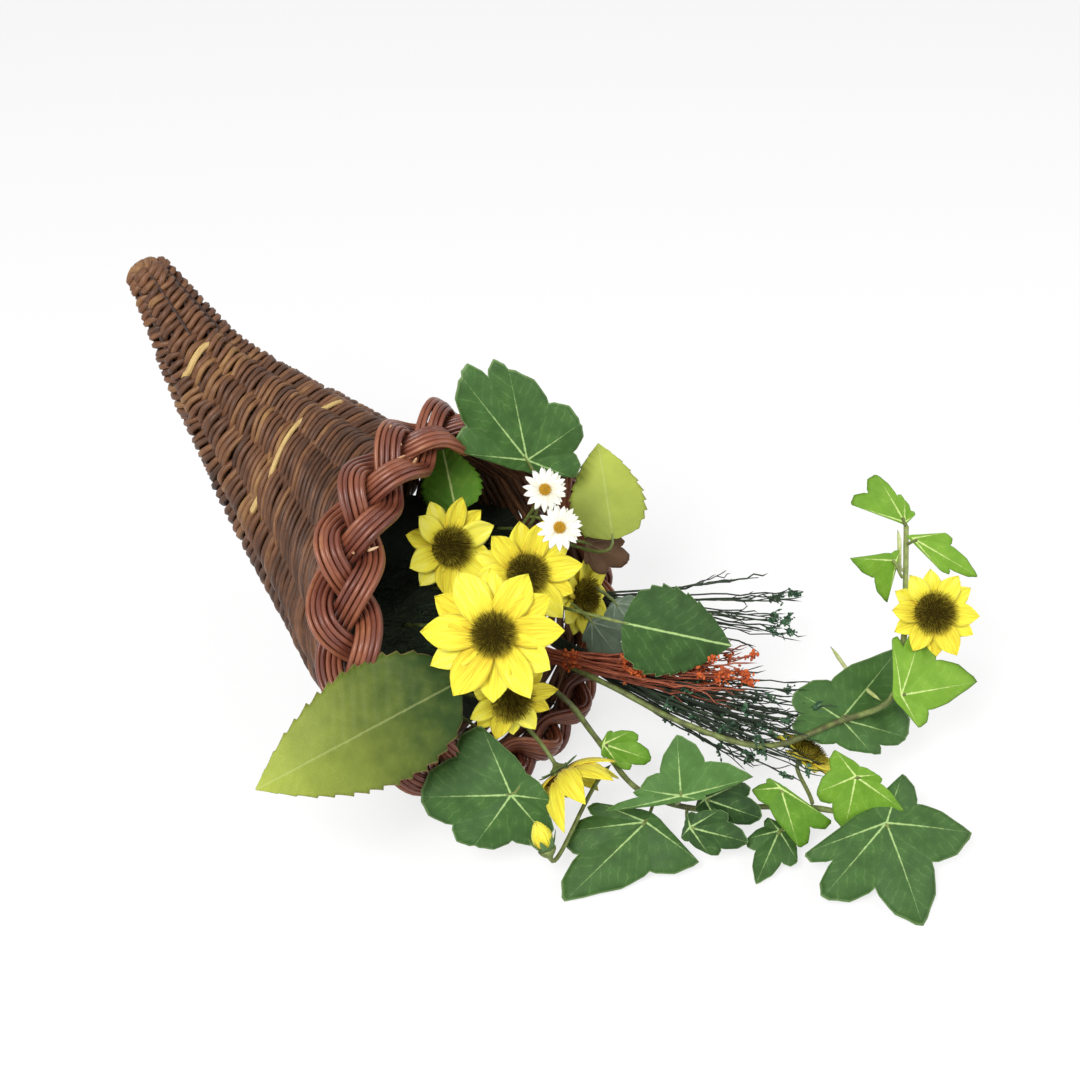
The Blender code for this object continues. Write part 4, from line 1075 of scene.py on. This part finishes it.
# Slot, own cloth if it has one, shade, where its petiole starts, base, tip, and its lobes.
small_leaves = {
    "small_leaf_1": ("bright_leaf", None, 0.35, ("ivy_vine_low", 0.14), (0.90, -0.06, -0.60),
                     (1.17, 0.02, -0.63), ((1, 0), (0.45, 0.42), (0.5, -0.36), (0.0, 0.25), (0.02, -0.22))),
    "small_leaf_2": ("dark_leaf", None, 0.2, ("ivy_vine_low", 0.45), (1.54, -0.14, -0.80),
                     (1.84, 0.00, -0.86), ((1, 0), (0.4, 0.40), (0.42, -0.36), (-0.1, 0.2), (-0.1, -0.2))),
    "small_leaf_3": ("dark_leaf", None, 0.1, ("ivy_vine_low", 0.50), (1.53, 0.03, -0.73),
                     (1.83, 0.16, -0.82), ((1, 0), (0.5, 0.46), (0.42, -0.4), (-0.1, 0.2), (-0.1, -0.2))),
    "small_leaf_4": ("bright_leaf", None, 0.5, (0.52, 0.02), (0.19, 0.72, 0.20), (0.36, 0.77, 0.11),
                     ((1, 0), (0.4, 0.5), (0.5, -0.42), (0.05, 0.25), (0.05, -0.25))),
    "small_leaf_5": ("dark_leaf", bleached_cloth, 0.3, (0.40, -0.12), (0.50, 0.40, -0.22),
                     (0.70, 0.40, -0.40), ((1, 0), (0.6, 0.44), (0.6, -0.44), (0.12, 0.36), (0.12, -0.36))),
    "small_leaf_6": ("dark_leaf", bleached_cloth, 0.6, (0.46, -0.14), (0.52, 0.62, -0.22),
                     (0.72, 0.60, -0.38), ((1, 0), (0.55, 0.56), (0.55, -0.5), (0.05, 0.36), (0.05, -0.36))),
    "small_leaf_7": ("dark_leaf", wilted_cloth, 0.5, (0.54, -0.04), (0.28, 0.66, 0.10),
                     (0.50, 0.78, -0.02), ((1, 0), (0.6, 0.40), (0.5, -0.5), (0.05, 0.3), (0.1, -0.36))),
}
for name, (slot, cloth, shade, origin, base, tip, lobes) in small_leaves.items():
    base, tip = place_of(base), place_of(tip)
    start, pull = from_vine(*origin, base) if isinstance(origin[0], str) else from_foam(origin, base)
    lobed_leaf(name, slot, start, pull, base, tip, lobes, 0.95, shade, eye, None, cloth)


# Toothed leaves: broad stamped cloth leaves with a saw-tooth edge and one midrib, from sunflower sprays.
# Their petioles go into the foam; the large lime one hangs far out over the rim on the near side.
def toothed_leaf(name, slot, foot, base, tip, width_share, teeth, root_shade, tip_shade):
    base, tip = place_of(base), place_of(tip)
    start, pull = from_foam(foot, base)
    length, forward, across, normal = leaf_frame(base, tip, eye)
    bm = bmesh.new()
    edge_layer = bm.verts.layers.float.new("edge")
    tone_layer = bm.verts.layers.float.new("tone")
    uv = bm.loops.layers.uv.new("vein")
    bmesh.ops.create_grid(bm, x_segments=16, y_segments=96, size=1)
    swell = smooth_line((0, 0.06, 0.2, 0.42, 0.66, 0.86, 1), (0.10, 0.5, 0.86, 1, 0.8, 0.42, 0.015))
    plan = {}
    for vert in bm.verts:
        share, along = vert.co.x, (vert.co.y + 1) / 2
        tooth = (1 - (along * teeth) % 1) ** 1.5
        half = width_share * length / 2 * swell(along) * (1 + 0.09 * (tooth - 0.5) * share ** 8)
        spot = Vector((along * length - 0.12 * abs(share) * half, share * half))
        plan[vert] = spot
        vert[edge_layer] = abs(share)
        vert[tone_layer] = root_shade + (tip_shade - root_shade) * along ** 1.7
    for face in bm.faces:
        for loop in face.loops:
            loop[uv].uv = plan[loop.vert] / mm
    seed = sum(ord(letter) for letter in name)
    for vert in bm.verts:
        spot = plan[vert]
        bow = 0.06 * (spot.x ** 2 + 2.4 * spot.y ** 2) / length
        quilt = 0.35 * mm * cos(tau * (spot.x - 1.15 * abs(spot.y)) / (6.4 * mm))
        quilt *= min(1, abs(spot.y) / (4 * mm))
        wave = 2.0 * mm * abs(spot.y) / (width_share * length / 2) * noise.noise(
            Vector((spot.x * 45, spot.y * 45, seed)))
        high = wave + quilt - bow - 0.10 * abs(spot.y)
        vert.co = base + forward * spot.x + across * spot.y + normal * high
    bmesh.ops.remove_doubles(bm, verts=bm.verts, dist=0.02 * mm)
    finish_leaf(bm, name, slot, start, pull, base, forward, name)


toothed_leaf("light_leaf", "lime_leaf", (0.66, 0.08), (0.46, 0.66, 0.22), (0.13, 0.98, 0.58), 0.76, 10,
             0.6, 1.0)
toothed_leaf("inner_leaf", "bright_leaf", (0.16, 0.02), (-0.34, 0.22, 0.34), (-0.54, 0.36, 0.64), 0.93, 10,
             0.15, 0.35)
toothed_leaf("serrated_leaf", "lime_leaf", (-0.52, -0.06), (0.40, -0.72, 0.16), (-0.03, -1.80, 0.04), 0.56, 15,
             0.0, 0.85)
toothed_leaf("dark_leaf_right", "dark_leaf", (0.30, -0.20), (0.80, 0.26, 0.05), (1.30, 0.66, -0.17), 0.76, 9,
             0.3, 0.2)


# Twigs: three bunches of fine dyed twigs, wired together at the foot. Each twig forks near its end and
# carries little bud clusters: green on the upper and lower bunches, orange-red beads on the rust one.
twig_bark = moulded("dark dyed twig", ("141d14", "22301f", "3a4a30"), 0.75)
rust_bark = moulded("rust dyed twig", ("5a2a1c", "96492f", "b8684a"), 0.7)
green_buds = moulded("green bud clusters", ("1f3a28", "3b6145", "6a8f6a"), 0.8)
rust_buds = moulded("orange red beads", ("9c3a16", "cf5c24", "e58544"), 0.7)
noise.seed_set(7)                 # the twigs are crooked in the same way on every run


def bunch(name, foot, waist, end, spread_share, count, bark, bark_slot, buds, bud_size, tufts, every):
    """Stems fan out from the foot over the rim, crooked at their joints, and fork near their ends. Tufts of
    buds, small balls pressed long, sit at shares of the way along every so many stems."""
    start = on_foam(*foot)
    waist, end = place_of(waist), place_of(end)
    along = (end - waist).normalized()
    level = along.cross(Vector((0, 0, 1))).normalized()
    upright = level.cross(along)
    spread = mouth_radius * spread_share
    foot_end = start + facing * 14 * mm
    routes = []
    bm = bmesh.new()
    tone_layer = bm.verts.layers.float.new("tone")

    def scatter(size):
        return Vector([chance.random() - 0.5 for axis in range(3)]) * size

    for number in range(count):
        angle = number * pi * (3 - sqrt(5))
        ring = sqrt((number + 0.5) / count)
        fan = (level * cos(angle) + upright * sin(angle) * 0.6) * ring
        spot = (side * cos(angle) + rise * sin(angle)) * ring * 3.6 * mm
        stop = end + fan * spread - along * spread * 1.5 * chance.random()
        pull = (waist - foot_end) * 0.7
        stem = bend(foot_end + spot, pull, (stop - waist - fan * spread * 0.5) * 0.4, stop, 20)
        for index in range(5, len(stem)):
            crook = 0.7 + 2.6 * (index / len(stem)) ** 2
            joint = Vector((index * 0.9, number * 5.3, 3))
            stem[index] = stem[index] + crook * mm * noise.noise_vector(joint)
        stem = [start - facing * 9 * mm + spot] + stem
        shade = 0.25 + 0.5 * chance.random()
        thick = (0.5 + 0.3 * chance.random()) * mm
        radii = [closed_end] + [thick * (1 - 0.02 * index) for index in range(len(stem) - 2)] + [closed_end]
        routes.append((stem, radii, [shade] * len(stem)))
        roots = [(len(stem) - 4 - 3 * fork, (9 + 9 * chance.random()) * mm, 0.9) for fork in range(2)]
        if number % every == 0:
            roots += [(int(share * (len(stem) - 1)), (4 + 3 * chance.random()) * mm, 1.6) for share in tufts]
        for index, long, bow in roots:
            way = (stem[index] - stem[index - 3]).normalized()
            shoots = 5 if bow > 1 else 1
            for number_of_shoot in range(shoots):
                out = way + scatter(bow)
                shoot = bend(stem[index], way * long * 0.4, out * long * 0.3,
                             stem[index] + out * long * 0.8, 5)
                routes.append((shoot, [0.3 * mm] * 5 + [closed_end], [shade] * 6))
                for bead in range(4 if bow > 1 else 0):
                    place = shoot[3 + bead % 3] + scatter(2.2 * mm)
                    place.z = max(place.z, 1.5 * mm)
                    turn = scatter(1).to_track_quat("Z", "Y")
                    shape = Matrix.LocRotScale(place, turn, Vector((0.5, 0.5, 1)) * bud_size
                                               * (0.7 + 0.6 * chance.random()))
                    tone = 0.2 + 0.6 * chance.random()
                    ball = bmesh.ops.create_icosphere(bm, subdivisions=1, radius=1, matrix=shape)["verts"]
                    for vert in ball:
                        vert[tone_layer] = tone
    for points, radii, tones in routes:
        for point in points:
            point.z = max(point.z, 1.0 * mm)
    put(name, rods(name, routes), bark, bark_slot, name)
    put(f"{name}_buds", mesh_from(bm, f"{name}_buds"), buds, bark_slot)


bunch("twigs_upper", (0.60, -0.34), (0.76, 0.80, -0.28), (1.40, 1.55, -0.52), 0.34, 18,
      twig_bark, "twig_green", green_buds, 1.3 * mm, (0.5, 0.93, 1.0), 4)
bunch("twigs_rust", (0.02, -0.22), (0.72, 0.10, -0.38), (1.42, 0.84, -0.40), 0.24, 34,
      rust_bark, "twig_rust", rust_buds, 1.5 * mm, (0.42, 0.6, 0.88, 0.97), 4)
bunch("twigs_lower", (0.42, -0.44), (0.86, 0.24, -0.50), (1.94, 0.80, -0.62), 0.36, 66,
      twig_bark, "twig_green", green_buds, 1.3 * mm, (0.6, 0.8, 0.95), 5)


# Dark green needles: fine moulded plastic grass that fills the gaps between the stems. Two thirds are
# pushed in the foam's face and one third in its top, and they lean out every way.
grass_plastic = moulded("dark green plastic needles", ("0d1a0e", "1d3320", "3c5a34"), 0.6)
needle_radius = 0.3 * mm
routes = []
for number in range(420):
    low = 0.7 * chance.random() - 0.1
    wide = 0.68 * sqrt(1 - (low / 0.78) ** 2)
    start = on_foam(2 * wide * (chance.random() - 0.5), -low)
    if number % 3 == 0:
        start = mouth + Vector((-42 - 22 * chance.random(), 110 * (chance.random() - 0.5), -8)) * mm
    way = facing + Vector([1.1 * (chance.random() - 0.5) for axis in range(3)])
    long = (14 + 16 * chance.random()) * mm
    droop = Vector([0.6 * (chance.random() - 0.5) for axis in range(3)])
    points = bend(start - facing * 3 * mm, way * long * 0.4, (way + droop) * long * 0.3,
                  start + (way + droop) * long * 0.8, 5)
    radii = [closed_end] + [needle_radius * (1 - 0.1 * index) for index in range(4)] + [closed_end]
    routes.append((points, radii, [0.2 + 0.7 * chance.random()] * 6))
put("foam_needles", rods("foam_needles", routes, sides=4), grass_plastic, "twig_green")


# The vine's side shoots: two pale green hooks that stand off the high vine, left bare of leaves.
# They are moulded in plastic with the vine and bend away from its side.
shoot_plastic = moulded("pale green shoot plastic", ("8f9b4c", "b9c372", "dde3a8"), 0.5)
routes = []
for share, tip in ((0.60, (1.60, 1.36, -0.55)), (0.90, (1.68, 1.93, 0.02))):
    start, away = seat_on(vine_runs["ivy_vine_high"], share, place_of(tip))
    reach = place_of(tip) - start
    points = bend(start, away * reach.length * 0.5, (reach + rise * 20 * mm) * 0.3, place_of(tip), 12)
    routes.append((points, [closed_end] + [1.2 * mm] * 10 + [0.8 * mm, closed_end], [0.4 + 0.4 * share] * 13))
put("vine_shoots", rods("vine_shoots", routes, sides=8), shoot_plastic, "stem_green")


# The plait's loose ends: short stubs of cut reed, pale where the knife left the raw cane bare. They stand
# out between the bundles in four places, where new reeds were laid in.
raw_cane = reed_stain("raw cut cane", ("7a4a30", "a8754e", "c99a72", "dcb892", "ecd2b0"), 0.7, 0)
routes = []
for turn, count in ((-0.16, 5), (-0.75, 3), (-1.75, 4), (2.2, 3)):
    for number in range(count):
        start = plait_point(turn + 0.03 * number, 0.3 + number) + plait_ways(turn)[0] * 1.5 * mm
        way = plait_ways(turn)[0] + plait_ways(turn)[1] * (chance.random() - 0.2)
        way += side * (chance.random() - 0.5)
        points = [start + way * (share * 7 - 2) * mm for share in (0, 0.25, 0.5, 0.8, 1)]
        radii = [closed_end, 0.8 * mm, 0.8 * mm, 0.6 * mm, closed_end]
        routes.append((points, radii, [0.4 + 0.5 * chance.random()] * 5))
put("plait_ends", rods("plait_ends", routes), raw_cane, "cane")


# The foam: a cut block of dark green crumbling foam, wedged in the belly of the horn, that the stems are
# pushed into. It keeps the shape it has in the plain model and gets its finish, with crumbs of about 1 mm.
foam_crumb, tree, shader = finish_of("dark green floral foam")
spot = add(tree, "TexCoord")
crumbs = add(tree, "TexNoise", {"Vector": spot.outputs["Object"], "Scale": 900.0, "Detail": 3.0})
ramp = add(tree, "ValToRGB", {"Fac": crumbs.outputs["Fac"]}, shades=("0e140c", "24301c"))
tree.links.new(ramp.outputs[0], shader.inputs["Base Color"])
bump = add(tree, "Bump", {"Height": crumbs.outputs["Fac"], "Strength": 0.8, "Distance": 0.8 * mm})
tree.links.new(bump.outputs[0], shader.inputs["Normal"])
shader.inputs["Roughness"].default_value = 0.95
foam_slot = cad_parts["floral_foam"].material_slots[0]
foam_slot.material = foam_crumb
